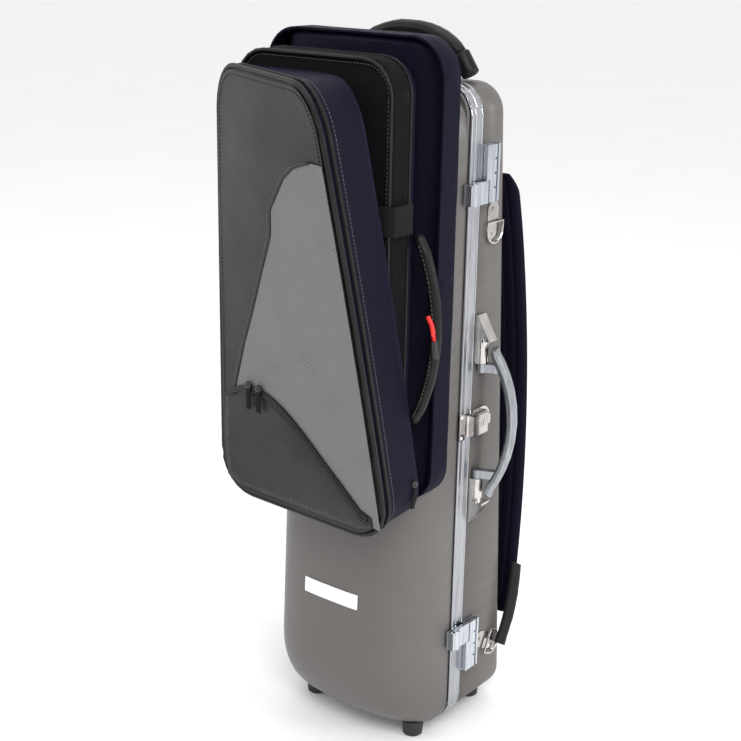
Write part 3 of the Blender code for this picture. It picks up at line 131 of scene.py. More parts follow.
def material(name, colour, roughness, metallic=0.0, specular=0.5):
    """A principled material, to which the functions below add procedural detail."""
    item = bpy.data.materials.new(name)
    item.use_nodes = True
    shader = shader_of(item)
    shader.inputs["Base Color"].default_value = (*colour, 1.0)
    shader.inputs["Roughness"].default_value = roughness
    shader.inputs["Metallic"].default_value = metallic
    shader.inputs["Specular IOR Level"].default_value = specular
    return item


def add(item, kind, **values):
    """A node with these values in its sockets, or in its settings where no socket has the name."""
    found = item.node_tree.nodes.new(kind)
    for key, value in values.items():
        if key in found.inputs:
            found.inputs[key].default_value = value
        else:
            setattr(found, key, value)
    return found


def link(item, source, target):
    item.node_tree.links.new(source, target)


def coordinates(item, rotation=(0.0, 0.0, 0.0), scale=(1.0, 1.0, 1.0)):
    """Texture coordinates in the piece's own metres."""
    source = add(item, "ShaderNodeTexCoord")
    mapping = add(item, "ShaderNodeMapping", Rotation=rotation, Scale=scale)
    link(item, source.outputs["Object"], mapping.inputs["Vector"])
    return mapping.outputs["Vector"]


def noise_factor(item, scale, detail=4.0, stretch=(1.0, 1.0, 1.0)):
    texture = add(item, "ShaderNodeTexNoise", Scale=scale, Detail=detail)
    link(item, coordinates(item, scale=stretch), texture.inputs["Vector"])
    return texture.outputs["Fac"]


def grain_factor(item, scale, randomness=0.9):
    texture = add(item, "ShaderNodeTexVoronoi", Scale=scale, Randomness=randomness)
    link(item, coordinates(item), texture.inputs["Vector"])
    return texture.outputs["Distance"]


def bands(item, scale, angle):
    """Ribs of a weave: a larger scale makes finer ribs, and the angle in degrees turns them."""
    texture = add(item, "ShaderNodeTexWave", Scale=scale, Distortion=0.0, bands_direction="Z")
    link(item, coordinates(item, rotation=(0.0, math.radians(angle), math.radians(angle / 3))),
         texture.inputs["Vector"])
    return texture.outputs["Fac"]


def mix_values(item, first, second, operation="MULTIPLY"):
    joined = add(item, "ShaderNodeMath", operation=operation)
    link(item, first, joined.inputs[0])
    link(item, second, joined.inputs[1])
    return joined.outputs[0]


def vary(item, factor, low, high):
    """The colour runs from low to high with the factor."""
    ramp = add(item, "ShaderNodeValToRGB")
    for element, position, colour in zip(ramp.color_ramp.elements, RAMP_ENDS, (low, high)):
        element.position = position
        element.color = (*colour, 1.0)
    link(item, factor, ramp.inputs["Fac"])
    link(item, ramp.outputs["Color"], shader_of(item).inputs["Base Color"])


def roughen(item, factor, low, high):
    span = add(item, "ShaderNodeMapRange")
    span.inputs["To Min"].default_value = low
    span.inputs["To Max"].default_value = high
    link(item, factor, span.inputs["Value"])
    link(item, span.outputs["Result"], shader_of(item).inputs["Roughness"])


def emboss(item, factor, strength, distance):
    bump = add(item, "ShaderNodeBump", Strength=strength, Distance=distance)
    link(item, factor, bump.inputs["Height"])
    link(item, bump.outputs["Normal"], shader_of(item).inputs["Normal"])


def sheen(item, weight, tint):
    shader = shader_of(item)
    shader.inputs["Sheen Weight"].default_value = weight
    shader.inputs["Sheen Roughness"].default_value = SHEEN_ROUGHNESS
    shader.inputs["Sheen Tint"].default_value = (*tint, 1.0)


def coat(item, weight):
    shader = shader_of(item)
    shader.inputs["Coat Weight"].default_value = weight
    shader.inputs["Coat Roughness"].default_value = COAT_ROUGHNESS


def shell_finish():
    item = material("shell", (0.17, 0.16, 0.16), 0.42)
    first, second = (bands(item, SHELL_RIBS, angle) for angle in SHELL_RIB_ANGLES)
    weave = mix_values(item, first, second, "MAXIMUM")
    vary(item, mix_values(item, weave, noise_factor(item, 5.0)), (0.090, 0.083, 0.079), (0.132, 0.122, 0.117))
    roughen(item, noise_factor(item, 9.0), 0.36, 0.50)
    emboss(item, weave, 0.25, 0.0002)
    coat(item, 0.06)
    return item


def metal_finish(name, low, high, rough, stretch, grain):
    item = material(name, high, rough[0], 1.0)
    streak = noise_factor(item, grain, 5.0, stretch)
    vary(item, streak, low, high)
    roughen(item, streak, *rough)
    emboss(item, streak, 0.05, 0.0001)
    return item


def leather_finish(name, low, high, rough, grain, depth):
    item = material(name, high, rough[0], specular=0.22)
    cells = grain_factor(item, grain)
    vary(item, noise_factor(item, 14.0), low, high)
    roughen(item, noise_factor(item, 40.0), *rough)
    emboss(item, cells, 0.45, depth)
    coat(item, 0.03)
    return item


def fabric_finish(name, low, high, rough, ribs, angles, depth, sheen_weight, tint):
    item = material(name, high, rough[0], specular=0.07)
    weave = mix_values(item, bands(item, ribs, angles[0]), bands(item, ribs, angles[1]), "MAXIMUM")
    vary(item, mix_values(item, weave, noise_factor(item, 22.0), "ADD"), low, high)
    roughen(item, noise_factor(item, 60.0), *rough)
    emboss(item, weave, 0.5, depth)
    sheen(item, sheen_weight, tint)
    return item


def plain_finish(name, low, high, rough, grain, depth):
    item = material(name, high, rough[0])
    speckle = noise_factor(item, grain)
    vary(item, speckle, low, high)
    roughen(item, noise_factor(item, grain / 4), *rough)
    emboss(item, speckle, 0.2, depth)
    return item


# Colours run from low to high, and then come the roughness range and, for a metal, its streak and grain, for
# leather its grain and depth, for cloth its ribs, their angles, depth and sheen, and for the rest grain and depth
FINISH = {
    "shell": shell_finish(),
    "aluminium": metal_finish("aluminium", (0.34, 0.35, 0.37), (0.50, 0.51, 0.54), (0.26, 0.38),
                              (1, 1, 0.03), 900.0),
    "chrome": metal_finish("chrome", (0.42, 0.40, 0.39), (0.62, 0.60, 0.58), (0.12, 0.24), (1, 1, 1), 60.0),
    "zinc": metal_finish("zinc", (0.44, 0.47, 0.52), (0.66, 0.69, 0.74), (0.16, 0.30), (1, 1, 0.1), 300.0),
    "handle_silver": metal_finish("handle_silver", (0.26, 0.27, 0.29), (0.40, 0.42, 0.45), (0.28, 0.42),
                                  (1, 1, 0.1), 400.0),
    "rubber": plain_finish("rubber", (0.012, 0.012, 0.013), (0.026, 0.026, 0.028), (0.62, 0.80),
                           900.0, 0.0002),
    "foam": fabric_finish("foam", (0.030, 0.030, 0.036), (0.060, 0.060, 0.070), (0.90, 1.0),
                          240.0, (0.0, 90.0), 0.0004, 0.6, (0.5, 0.5, 0.6)),
    "navy_fabric": fabric_finish("navy_fabric", (0.0012, 0.0012, 0.0040), (0.0040, 0.0040, 0.0120),
                                 (0.50, 0.70), 260.0, (0.0, 90.0), 0.0003, 0.05, (0.20, 0.20, 0.45)),
    "mesh_fabric": fabric_finish("mesh_fabric", (0.0010, 0.0010, 0.0014), (0.0060, 0.0060, 0.0070),
                                 (0.75, 0.95), 120.0, (45.0, -45.0), 0.0008, 0.05, (0.3, 0.3, 0.35)),
    "twill_fabric": fabric_finish("twill_fabric", (0.035, 0.034, 0.034), (0.165, 0.160, 0.158), (0.70, 0.90),
                                  90.0, (35.0, -35.0), 0.0009, 0.15, (0.8, 0.8, 0.8)),
    "black_leather": leather_finish("black_leather", (0.003, 0.003, 0.003), (0.009, 0.0085, 0.0085),
                                    (0.34, 0.50), 420.0, 0.0003),
    "grey_leather": leather_finish("grey_leather", (0.0085, 0.0075, 0.0078), (0.018, 0.016, 0.016),
                                   (0.33, 0.46), 300.0, 0.0003),
    "zip": fabric_finish("zip", (0.002, 0.002, 0.0024), (0.009, 0.009, 0.010), (0.60, 0.80),
                         150.0, (30.0, -30.0), 0.0005, 0.15, (0.3, 0.3, 0.3)),
    "label": plain_finish("label", (0.84, 0.84, 0.85), (0.93, 0.93, 0.93), (0.30, 0.45), 120.0, 0.0001),
    "red": plain_finish("red", (0.60, 0.012, 0.012), (0.80, 0.025, 0.02), (0.40, 0.60), 300.0, 0.0001),
    "thread": plain_finish("thread", (0.06, 0.06, 0.06), (0.12, 0.12, 0.12), (0.60, 0.80), 500.0, 0.0001),
    "dark": plain_finish("dark", (0.006, 0.006, 0.007), (0.014, 0.014, 0.015), (0.35, 0.50), 300.0, 0.0001),
}


def paint(piece, finish):
    piece.data.materials.clear()
    piece.data.materials.append(FINISH[finish])


def smooth(piece, angle=SHARP_ANGLE):
    for face in piece.data.polygons:
        face.use_smooth = True
    piece.data.set_sharp_from_angle(angle=math.radians(angle))


# New pieces

def piece_from(name, bm, finish, body, slot):
    """A new object from a bmesh, with its finish, that rides a body."""
    mesh = bpy.data.meshes.new(name)
    bm.to_mesh(mesh)
    bm.free()
    item = bpy.data.objects.new(name, mesh)
    bpy.context.scene.collection.objects.link(item)
    paint(item, finish)
    smooth(item)
    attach(item, body)
    return item


MERGE_DISTANCE = 0.00002
SPLIT_ROUNDS = 6
FINER_WAVE = 2.3


def soft_piece(node, finish, body, slot, push, amount, size, longest):
    """A sewn piece that takes a CAD solid's place, with the slight waves of its cloth."""
    source = frame["nodes"][node]
    bm = bmesh.new()
    bm.from_mesh(source.data)
    bmesh.ops.remove_doubles(bm, verts=bm.verts[:], dist=MERGE_DISTANCE)
    bmesh.ops.triangulate(bm, faces=bm.faces[:])
    for _ in range(SPLIT_ROUNDS):
        long_edges = [edge for edge in bm.edges if edge.calc_length() > longest]
        if not long_edges:
            break
        bmesh.ops.subdivide_edges(bm, edges=long_edges, cuts=1)
        bmesh.ops.triangulate(bm, faces=[face for face in bm.faces if len(face.verts) > 3])
    direction = Vector(push)
    for vert in bm.verts:
        wave = noise.noise(vert.co / size) + 0.5 * noise.noise(vert.co * FINER_WAVE / size)
        vert.co += direction * wave * amount
    bmesh.ops.recalc_face_normals(bm, faces=bm.faces[:])
    item = piece_from(node + "_sewn", bm, finish, body, slot)
    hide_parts(node)
    return item


def tube(name, points, radius, finish, body, slot, cyclic=False, sides=8):
    """A round bar or cord swept along points."""
    bm = bmesh.new()
    rings = []
    count = len(points)
    for index, point in enumerate(points):
        before = points[index - 1] if index or cyclic else point
        after = points[(index + 1) % count] if index < count - 1 or cyclic else point
        along = (after - before).normalized()
        side = along.cross(Vector((0, 0, 1)))
        if side.length < 0.2:
            side = along.cross(Vector((0, 1, 0)))
        side.normalize()
        up = side.cross(along)
        rings.append([bm.verts.new(point + (side * math.cos(turn) + up * math.sin(turn)) * radius)
                      for turn in (2 * math.pi * step / sides for step in range(sides))])
    for index in range(count if cyclic else count - 1):
        first, second = rings[index], rings[(index + 1) % count]
        for step in range(sides):
            bm.faces.new((first[step], first[(step + 1) % sides], second[(step + 1) % sides], second[step]))
    if not cyclic:
        bm.faces.new(rings[0])
        bm.faces.new(rings[-1])
    bmesh.ops.recalc_face_normals(bm, faces=bm.faces[:])
    return piece_from(name, bm, finish, body, slot)


def spaced(points, pitch, cyclic=False):
    """Points and directions at an even pitch along a line."""
    path = points + points[:1] if cyclic else points
    found = []
    carry = 0.0
    for start, end in zip(path, path[1:]):
        length = (end - start).length
        if length < 1e-6:
            continue
        along = (end - start) / length
        at = carry
        while at < length:
            found.append((start + along * at, along))
            at += pitch
        carry = at - length
    return found


def row_of(name, points, pitch, size, outward, finish, body, slot, cyclic=False):
    """A row of small blocks along a line: zip teeth or stitches."""
    bm = bmesh.new()
    facing = Vector(outward).normalized()
    for point, along in spaced(points, pitch, cyclic):
        across = facing.cross(along).normalized()
        out = along.cross(across)
        basis = Matrix((along, across, out)).transposed().to_4x4()
        matrix = Matrix.Translation(point) @ basis @ Matrix.Diagonal((*size, 1.0))
        bmesh.ops.create_cube(bm, size=1.0, matrix=matrix)
    return piece_from(name, bm, finish, body, slot)


def dome(name, centre, radius, height, outward, finish, body, slot):
    """A rivet, snap or screw head."""
    bm = bmesh.new()
    turn = Vector(outward).normalized().to_track_quat("Z", "Y").to_matrix().to_4x4()
    matrix = Matrix.Translation(centre) @ turn @ Matrix.Diagonal((radius, radius, height, 1.0))
    bmesh.ops.create_uvsphere(bm, u_segments=18, v_segments=10, radius=1.0, matrix=matrix)
    return piece_from(name, bm, finish, body, slot)


def stitches(name, points, finish, body, cyclic=False):
    return row_of(name, points, STITCH_PITCH, STITCH_SIZE, FACING_OUT, finish, body, "zip", cyclic)


def zip_teeth(name, points, pitch, size, body, cyclic=False):
    return row_of(name, points, pitch, size, FACING_OUT, "dark", body, "zip", cyclic)


def closed_sheet(name, outer_points, inner_points, finish, body, slot, angle=SHARP_ANGLE, merge=0.0):
    """A thin closed piece between two grids of points with the same rows and columns."""
    bm = bmesh.new()
    outer, inner = ([[bm.verts.new(point) for point in line] for line in grid]
                    for grid in (outer_points, inner_points))
    rows, columns = len(outer) - 1, len(outer[0]) - 1
    for grid in (outer, inner):
        for row in range(rows):
            for column in range(columns):
                bm.faces.new((grid[row][column], grid[row][column + 1], grid[row + 1][column + 1],
                              grid[row + 1][column]))
    border = [(0, column) for column in range(columns)] + [(row, columns) for row in range(rows)]
    border += [(rows, column) for column in range(columns, 0, -1)] + [(row, 0) for row in range(rows, 0, -1)]
    for (row, column), (next_row, next_column) in zip(border, border[1:] + border[:1]):
        bm.faces.new((outer[row][column], outer[next_row][next_column], inner[next_row][next_column],
                      inner[row][column]))
    if merge:
        bmesh.ops.remove_doubles(bm, verts=bm.verts[:], dist=merge)
    bmesh.ops.recalc_face_normals(bm, faces=bm.faces[:])
    item = piece_from(name, bm, finish, body, slot)
    smooth(item, angle)
    return item


def rounded(half, low, high, radius, steps=6):
    """(x, z) round a rectangle with rounded corners."""
    points = []
    for cx, cz, start in ((half - radius, high - radius, 0), (-half + radius, high - radius, 90),
                          (-half + radius, low + radius, 180), (half - radius, low + radius, 270)):
        for step in range(steps + 1):
            turn = math.radians(start + 90 * step / steps)
            points.append((cx + radius * math.cos(turn), cz + radius * math.sin(turn)))
    return points


def filled(points, longest):
    """The closed line with extra points on its long sides."""
    found = []
    for index, start in enumerate(points):
        end = points[(index + 1) % len(points)]
        parts = max(1, int(math.dist(start, end) / longest))
        found += [tuple(a + (b - a) * part / parts for a, b in zip(start, end)) for part in range(parts)]
    return found


def cover_point(s, depth, z, crown=0.0):
    """A point of the cover: s runs across it from its left edge, depth goes in from its face."""
    share = s / COVER_WIDTH
    up = (z - COVER_Z[0]) / (COVER_Z[1] - COVER_Z[0])
    twist = math.radians(COVER_TWIST[0] + (COVER_TWIST[1] - COVER_TWIST[0]) * up)
    x = COVER_LEFT + s * math.cos(twist) - COVER_LEAN_IN * depth * share
    return place(x, COVER_FACE_Y + depth - s * math.sin(twist) - crown, z)


def cover_crown(s, z):
    """How far the padded face stands out at a point."""
    across = math.sin(math.pi * min(max(s / COVER_WIDTH, 0.0), 1.0))
    up = math.sin(math.pi * min(max((z - COVER_Z[0]) / (COVER_Z[1] - COVER_Z[0]), 0.0), 1.0))
    return COVER_CROWN * across * min(up * 2.0, 1.0)


def face_point(s, z, lift):
    return cover_point(s, 0.0, z, cover_crown(s, z) + lift)


def cover_line(inset, depth, lift=0.0):
    """A closed line along the cover's edge, on its face or on its side at a depth."""
    half = COVER_WIDTH / 2
    corner = max(COVER_CORNER - inset, SMALLEST_CORNER)
    outline = rounded(half - inset, COVER_Z[0] + inset, COVER_Z[1] - inset, corner)
    return [cover_point(x + half, depth, z, cover_crown(x + half, z) + lift if depth <= 0.0 else lift)
            for x, z in filled(outline, LINE_STEP)]


def pocket_arch(s):
    """The height of the pocket's curved top edge."""
    share = s / COVER_WIDTH
    bow = math.sin(math.pi * min(POCKET_BOW * share + POCKET_BOW_START, 1.0))
    return COVER_Z[0] + POCKET_LOW + (POCKET_HEIGHT - POCKET_LOW) * bow - POCKET_FALL * share


def interpolate(table, at):
    for (z0, value0), (z1, value1) in zip(table, table[1:]):
        if at <= z1:
            return value0 + (value1 - value0) * max(at - z0, 0.0) / (z1 - z0)
    return table[-1][1]


# Soft pieces in place of their CAD solids: finish, body, direction of the waves, their amount and size, and the
# longest edge of the mesh
STILL = (0, 0, 0)
SOFT_NODES = {
    "carrier_panel": ("navy_fabric", "lid", (0, 1, 0), 0.0008, 0.060, 0.016),
    "briefcase_front": ("mesh_fabric", "lid", (0, 1, 0), 0.0006, 0.070, 0.016),
    "briefcase_back": ("navy_fabric", "lid", (0, 1, 0), 0.0004, 0.070, 0.016),
    "briefcase_zip": ("zip", "lid", STILL, 0.0, 0.070, 0.016),
    "cover_panel": ("grey_leather", "cover", STILL, 0.0, 0.080, 0.014),
    "pocket_panel": ("grey_leather", "cover", (0, -1, 0), 0.0004, 0.050, 0.012),
    "top_handle_grip": ("black_leather", "base", (0, 0, 1), 0.0005, 0.020, 0.008),
    "top_handle_sleeve_left": ("black_leather", "base", STILL, 0.0, 0.020, 0.006),
    "top_handle_sleeve_right": ("black_leather", "base", STILL, 0.0, 0.020, 0.006),
    "briefcase_handle": ("black_leather", "lid", (1, 0, 0), 0.0004, 0.020, 0.008),
    "briefcase_piping": ("black_leather", "lid", STILL, 0.0, 0.020, 0.020),
    "strap_webbing_right": ("zip", "base", (1, 0, 0), 0.0006, 0.020, 0.008),
    "strap_webbing_left": ("zip", "base", (1, 0, 0), 0.0006, 0.020, 0.008),
    "strap_anchor_plate": ("black_leather", "base", STILL, 0.0, 0.020, 0.012),
}
SHAPED_BELOW = ("backpack_strap", "cover_piping", "front_shell", "rear_shell")
SLOT_OF = {entry["node"]: entry["material_slot"] for entry in frame["record"]["subparts"]}

# Hard parts: the CAD nodes keep their shape and take a finish
for node_name, node in frame["nodes"].items():
    if node_name in SOFT_NODES or node_name.startswith(SHAPED_BELOW):
        continue
    paint(node, "zinc" if "latch" in node_name else SLOT_OF[node_name])

sewn = {name: soft_piece(name, finish, body, SLOT_OF[name], push, amount, size, longest)
        for name, (finish, body, push, amount, size, longest) in SOFT_NODES.items() if name in frame["nodes"]}

# The cover's sides are navy cloth behind the leather's edge
GUSSET_STARTS = 0.0040
sewn["cover_panel"].data.materials.append(FINISH["navy_fabric"])
for face in sewn["cover_panel"].data.polygons:
    local = face.center - ORIGIN
    share = (local.z - COVER_Z[0]) / (COVER_Z[1] - COVER_Z[0])
    twist = math.radians(COVER_TWIST[0] + (COVER_TWIST[1] - COVER_TWIST[0]) * share)
    depth = local.y - COVER_FACE_Y + (local.x - COVER_LEFT) * math.tan(twist)
    face.material_index = 1 if depth * math.cos(twist) > GUSSET_STARTS else 0


# Smooth skins for the two shells, on the CAD's own form
WALL = 0.0026
FRONT_DEPTH = (0.0983, 0.0600)
FRONT_SQUARENESS = 3.1
FRONT_END_RISE = 0.090
FRONT_END_DROP = 0.080
FRONT_EDGE_MIN = 0.0065
FRONT_START_Y = -0.0025
FRONT_EDGE_INSETS = (0.0, 0.0004, 0.001, 0.002, 0.0035, 0.0055, 0.008, 0.011)
FRONT_FACE_INSETS = tuple(0.015 + 0.005 * step for step in range(18))
REAR_START_Y = 0.0219
REAR_EDGE_RADIUS = 0.014
REAR_EDGE_TURNS = range(0, 91, 9)
REAR_FLAT_INSET = 0.06
SKIN_CORNER_STEPS = 10
SKIN_SIDE_PARTS = (20, 60, 20, 60)


def front_height(x, z):
    """The front shell's height off the rim, which falls away at both ends."""
    share = (1.0 - min(abs(x) / HALF_WIDTH, 1.0) ** FRONT_SQUARENESS) ** (1.0 / FRONT_SQUARENESS)
    depth = FRONT_DEPTH[0] + (FRONT_DEPTH[1] - FRONT_DEPTH[0]) * z / CASE_HEIGHT
    end = min(z, CASE_HEIGHT - z)
    sink = 0.0
    if end < FRONT_END_RISE:
        run = (FRONT_END_RISE - end) / FRONT_END_RISE
        sink = FRONT_END_DROP * (1.0 - math.sqrt(max(1.0 - run * run, 0.0)))
    return max(depth * share - sink, FRONT_EDGE_MIN)


def rear_depth(z):
    return REAR_DEPTH[0] + (REAR_DEPTH[1] - REAR_DEPTH[0]) * z / CASE_HEIGHT


def ring_points(inset):
    """A ring of the shell's outline with the same count of points at every inset."""
    radius = max(CORNER_RADIUS - inset, 0.004)
    corners = rounded(HALF_WIDTH - inset, inset, CASE_HEIGHT - inset, radius, SKIN_CORNER_STEPS)
    found = []
    for index, start in enumerate(corners):
        end = corners[(index + 1) % len(corners)]
        corner, step = divmod(index, SKIN_CORNER_STEPS + 1)
        parts = SKIN_SIDE_PARTS[corner] if step == SKIN_CORNER_STEPS else 1
        found += [tuple(a + (b - a) * part / parts for a, b in zip(start, end)) for part in range(parts)]
    return found


def skin(name, node, rings, body):
    """A closed wall swept through the rings, with its last ring filled."""
    bm = bmesh.new()
    layers = [[bm.verts.new(place(*point)) for point in ring] for ring in rings]
    count = len(layers[0])
    for first, second in zip(layers, layers[1:]):
        for index in range(count):
            after = (index + 1) % count
            bm.faces.new((first[index], first[after], second[after], second[index]))
    bm.faces.new(layers[-1])
    bmesh.ops.recalc_face_normals(bm, faces=bm.faces[:])
    item = piece_from(name, bm, "shell", body, "shell")
    smooth(item, SOFT_ANGLE)
    wall = item.modifiers.new("wall", "SOLIDIFY")
    wall.thickness = WALL
    wall.offset = -1.0
    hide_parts(node)


def front_rings():
    yield [(x, FRONT_START_Y, z) for x, z in ring_points(0.0)]
    for inset in FRONT_EDGE_INSETS + FRONT_FACE_INSETS:
        yield [(x, -front_height(x, z), z) for x, z in ring_points(inset)]


def rear_rings():
    yield [(x, REAR_START_Y, z) for x, z in ring_points(0.0)]
    for degrees in REAR_EDGE_TURNS:
        turn = math.radians(degrees)
        inset = REAR_EDGE_RADIUS * (1 - math.cos(turn))
        rise = REAR_EDGE_RADIUS * (1 - math.sin(turn))
        yield [(x, rear_depth(z) - rise, z) for x, z in ring_points(inset)]
    yield [(x, rear_depth(z), z) for x, z in ring_points(REAR_FLAT_INSET)]


skin("front_shell_skin", "front_shell", front_rings(), "lid")
skin("rear_shell_skin", "rear_shell", rear_rings(), "base")


# Quilted backpack straps
STRAP_ACROSS = 40
STRAP_ALONG = 110
STRAP_ANGLE = 70.0
END_LENGTH = 0.022
END_WIDTH = 0.72
END_THICKNESS = 0.35
END_THICKENS_OVER = 0.030
CHANNELS = (0.2, 0.4, 0.6, 0.8)
CHANNEL_WIDTH = 0.022
CHANNEL_DEPTH = 0.42
WRINKLE = 0.10


def strap_middle_y(z):
    share = (z - STRAP_Z[0]) / (STRAP_Z[1] - STRAP_Z[0])
    return rear_depth(z) + STRAP_STANDOFF + STRAP_BOW * math.sin(math.pi * min(max(share, 0.0), 1.0)) ** 0.7


def strap_grid(side, face):
    """Points of one face of a padded band with sewn channels along it, bowed off the shell's back."""
    length = STRAP_Z[1] - STRAP_Z[0]
    grid = []
    for row in range(STRAP_ALONG + 1):
        v = row / STRAP_ALONG
        z = STRAP_Z[0] + length * v
        end = min(v, 1 - v) * length
        narrow = 1.0
        if end <= END_LENGTH:
            narrow = END_WIDTH + (1.0 - END_WIDTH) * math.sin(math.pi / 2 * end / END_LENGTH)
        thin = min(1.0, END_THICKNESS + end / END_THICKENS_OVER)
        line = []
        for column in range(STRAP_ACROSS + 1):
            u = column / STRAP_ACROSS
            x = side * STRAP_X + (u - 0.5) * STRAP_WIDTH * narrow
            round_off = (1 - abs(2 * u - 1) ** 5) ** 0.5
            groove = sum(math.exp(-((u - channel) / CHANNEL_WIDTH) ** 2) for channel in CHANNELS)
            wrinkle = WRINKLE * noise.noise(Vector((x * 30, z * 95, face)))
            full = round_off * thin * (1 - CHANNEL_DEPTH * groove + wrinkle * round_off)
            line.append(place(x, strap_middle_y(z) + face * STRAP_THICKNESS / 2 * max(full, 0.04), z))
        grid.append(line)
    return grid


for side, tag in ((1, "right"), (-1, "left")):
    strap = closed_sheet("quilted_strap_" + tag, strap_grid(side, 1), strap_grid(side, -1), "navy_fabric",
                         "base", "navy_fabric", STRAP_ANGLE)
    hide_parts("backpack_strap_" + tag)


# The cover's piping, leather face and twill area
cover_piping = tube("cover_edge_piping", cover_line(-0.0008, 0.0022), PIPING_RADIUS, "black_leather", "cover",
                    "black_leather", cyclic=True)
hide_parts("cover_piping")

LEATHER_LIFT = 0.0020
LEATHER_THICKNESS = 0.0012
LEATHER_INSET = 0.0030
LEATHER_WAVE = 0.0007
LEATHER_ROWS = 90
LEATHER_COLUMNS = 48
TWILL_EDGE = ((0.300, 0.02), (0.362, 0.06), (0.402, 0.11), (0.469, 0.22), (0.554, 0.40), (0.600, 0.51),
              (0.627, 0.53), (0.663, 0.67), (0.678, 0.77), (0.686, 0.90))
TWILL_TOP = 0.686
TWILL_BOTTOM = 0.070
TWILL_END = 0.985
TWILL_LIFT = 0.0034
TWILL_THICKNESS = 0.0010
TWILL_BEHIND_POCKET = 0.012
TWILL_ROWS = 60
TWILL_COLUMNS = 34
TWILL_MERGE = 0.00001


def leather_grid(lift):
    """Points over the cover's face inside its round corners, with the slight waves of a padded panel."""
    low, high = COVER_Z[0] + LEATHER_INSET, COVER_Z[1] - LEATHER_INSET
    radius = COVER_CORNER - LEATHER_INSET
    grid = []
    for row in range(LEATHER_ROWS + 1):
        z = low + (high - low) * (0.5 - 0.5 * math.cos(math.pi * row / LEATHER_ROWS))
        reach = max(0.0, radius - min(z - low, high - z))
        corner = radius - math.sqrt(max(radius * radius - reach * reach, 0.0))
        start, end = LEATHER_INSET + corner, COVER_WIDTH - LEATHER_INSET - corner
        line = []
        for column in range(LEATHER_COLUMNS + 1):
            s = start + (end - start) * column / LEATHER_COLUMNS
            wave = LEATHER_WAVE * noise.noise(Vector((s * 14, z * 9, 0.0)))
            line.append(face_point(s, z, lift + wave))
        grid.append(line)
    return grid


def twill_grid(lift):
    """Points over the twill area, from its curved left edge to the cover's right edge."""
    bottom = COVER_Z[0] + TWILL_BOTTOM
    grid = []
    for row in range(TWILL_ROWS + 1):
        v = row / TWILL_ROWS
        start = interpolate(TWILL_EDGE, bottom + (TWILL_TOP - bottom) * v)
        line = []
        for column in range(TWILL_COLUMNS + 1):
            u = column / TWILL_COLUMNS
            s = COVER_WIDTH * (start + (TWILL_END - start) * u)
            low = pocket_arch(s) - TWILL_BEHIND_POCKET
            z = low + (TWILL_TOP - low) * v
            s = COVER_WIDTH * max(s / COVER_WIDTH, interpolate(TWILL_EDGE, z))
            line.append(face_point(s, z, lift))
        grid.append(line)
    return grid


closed_sheet("cover_leather_face", leather_grid(LEATHER_LIFT), leather_grid(LEATHER_LIFT - LEATHER_THICKNESS),
             "grey_leather", "cover", "grey_leather", SOFT_ANGLE)
closed_sheet("cover_twill_area", twill_grid(TWILL_LIFT), twill_grid(TWILL_LIFT - TWILL_THICKNESS),
             "twill_fabric", "cover", "grey_leather", SHARP_ANGLE, TWILL_MERGE)

# Seams, stitches and zips of the cover and its pocket
SEAM_STEPS = 60
SEAM_START = 0.02
SEAM_RADIUS = 0.0011
seam = []
for step in range(SEAM_STEPS):
    z = pocket_arch(SEAM_START) + (TWILL_TOP - pocket_arch(SEAM_START)) * step / (SEAM_STEPS - 1)
    seam.append(face_point(COVER_WIDTH * interpolate(TWILL_EDGE, z), z, TWILL_LIFT))
tube("cover_twill_seam", seam, SEAM_RADIUS, "black_leather", "cover", "black_leather")
stitches("cover_twill_stitches", [point + Vector((-0.004, -0.0002, 0.0)) for point in seam], "thread",
         "cover")

stitches("cover_edge_stitches", cover_line(0.0075, 0.0, 0.0024), "dark", "cover", cyclic=True)
for number, depth in enumerate((0.012, 0.016)):
    tube(f"cover_zip_tape_{number}", cover_line(-0.0012, depth), TAPE_RADIUS, "zip", "cover", "zip",
         cyclic=True)
zip_teeth("cover_zip_teeth", cover_line(-0.0012, 0.014), 0.0022, (0.0012, 0.0026, 0.0020), "cover",
          cyclic=True)
stitches("gusset_stitches", cover_line(-0.0002, 0.024), "thread", "cover", cyclic=True)

ARCH_STEPS = 60
ARCH_MARGIN = 0.016
ARCH_DROP = 0.003
ARCH_LIFT = 0.0056
arch = []
for step in range(ARCH_STEPS + 1):
    s = ARCH_MARGIN + (COVER_WIDTH - 2 * ARCH_MARGIN) * step / ARCH_STEPS
    arch.append(face_point(s, pocket_arch(s) - ARCH_DROP, ARCH_LIFT))
for number, shift in enumerate((-0.0022, 0.0022)):
    tube(f"pocket_zip_tape_{number}", [point + Vector((0, 0, shift)) for point in arch], TAPE_RADIUS,
         "black_leather", "cover", "black_leather")
zip_teeth("pocket_zip_teeth", arch, 0.0021, (0.0012, 0.0030, 0.0016), "cover")
stitches("pocket_stitches", [point + Vector((0, 0.0004, -0.0075)) for point in arch], "dark", "cover")

SLIDER_RADIUS = 0.0044
SLIDER_HEIGHT = 0.0030
SLIDER_ABOVE_PULL = 0.0028
for pull, outward in (("pocket_pull_left", FACING_OUT), ("pocket_pull_right", FACING_OUT),
                      ("corner_pull", (1, -0.3, 0))):
    low, high = corners_of(pull)
    head = Vector(((low.x + high.x) / 2, (low.y + high.y) / 2, high.z + SLIDER_ABOVE_PULL))
    dome("slider_" + pull, head, SLIDER_RADIUS, SLIDER_HEIGHT, outward, "dark", "cover", "zip")

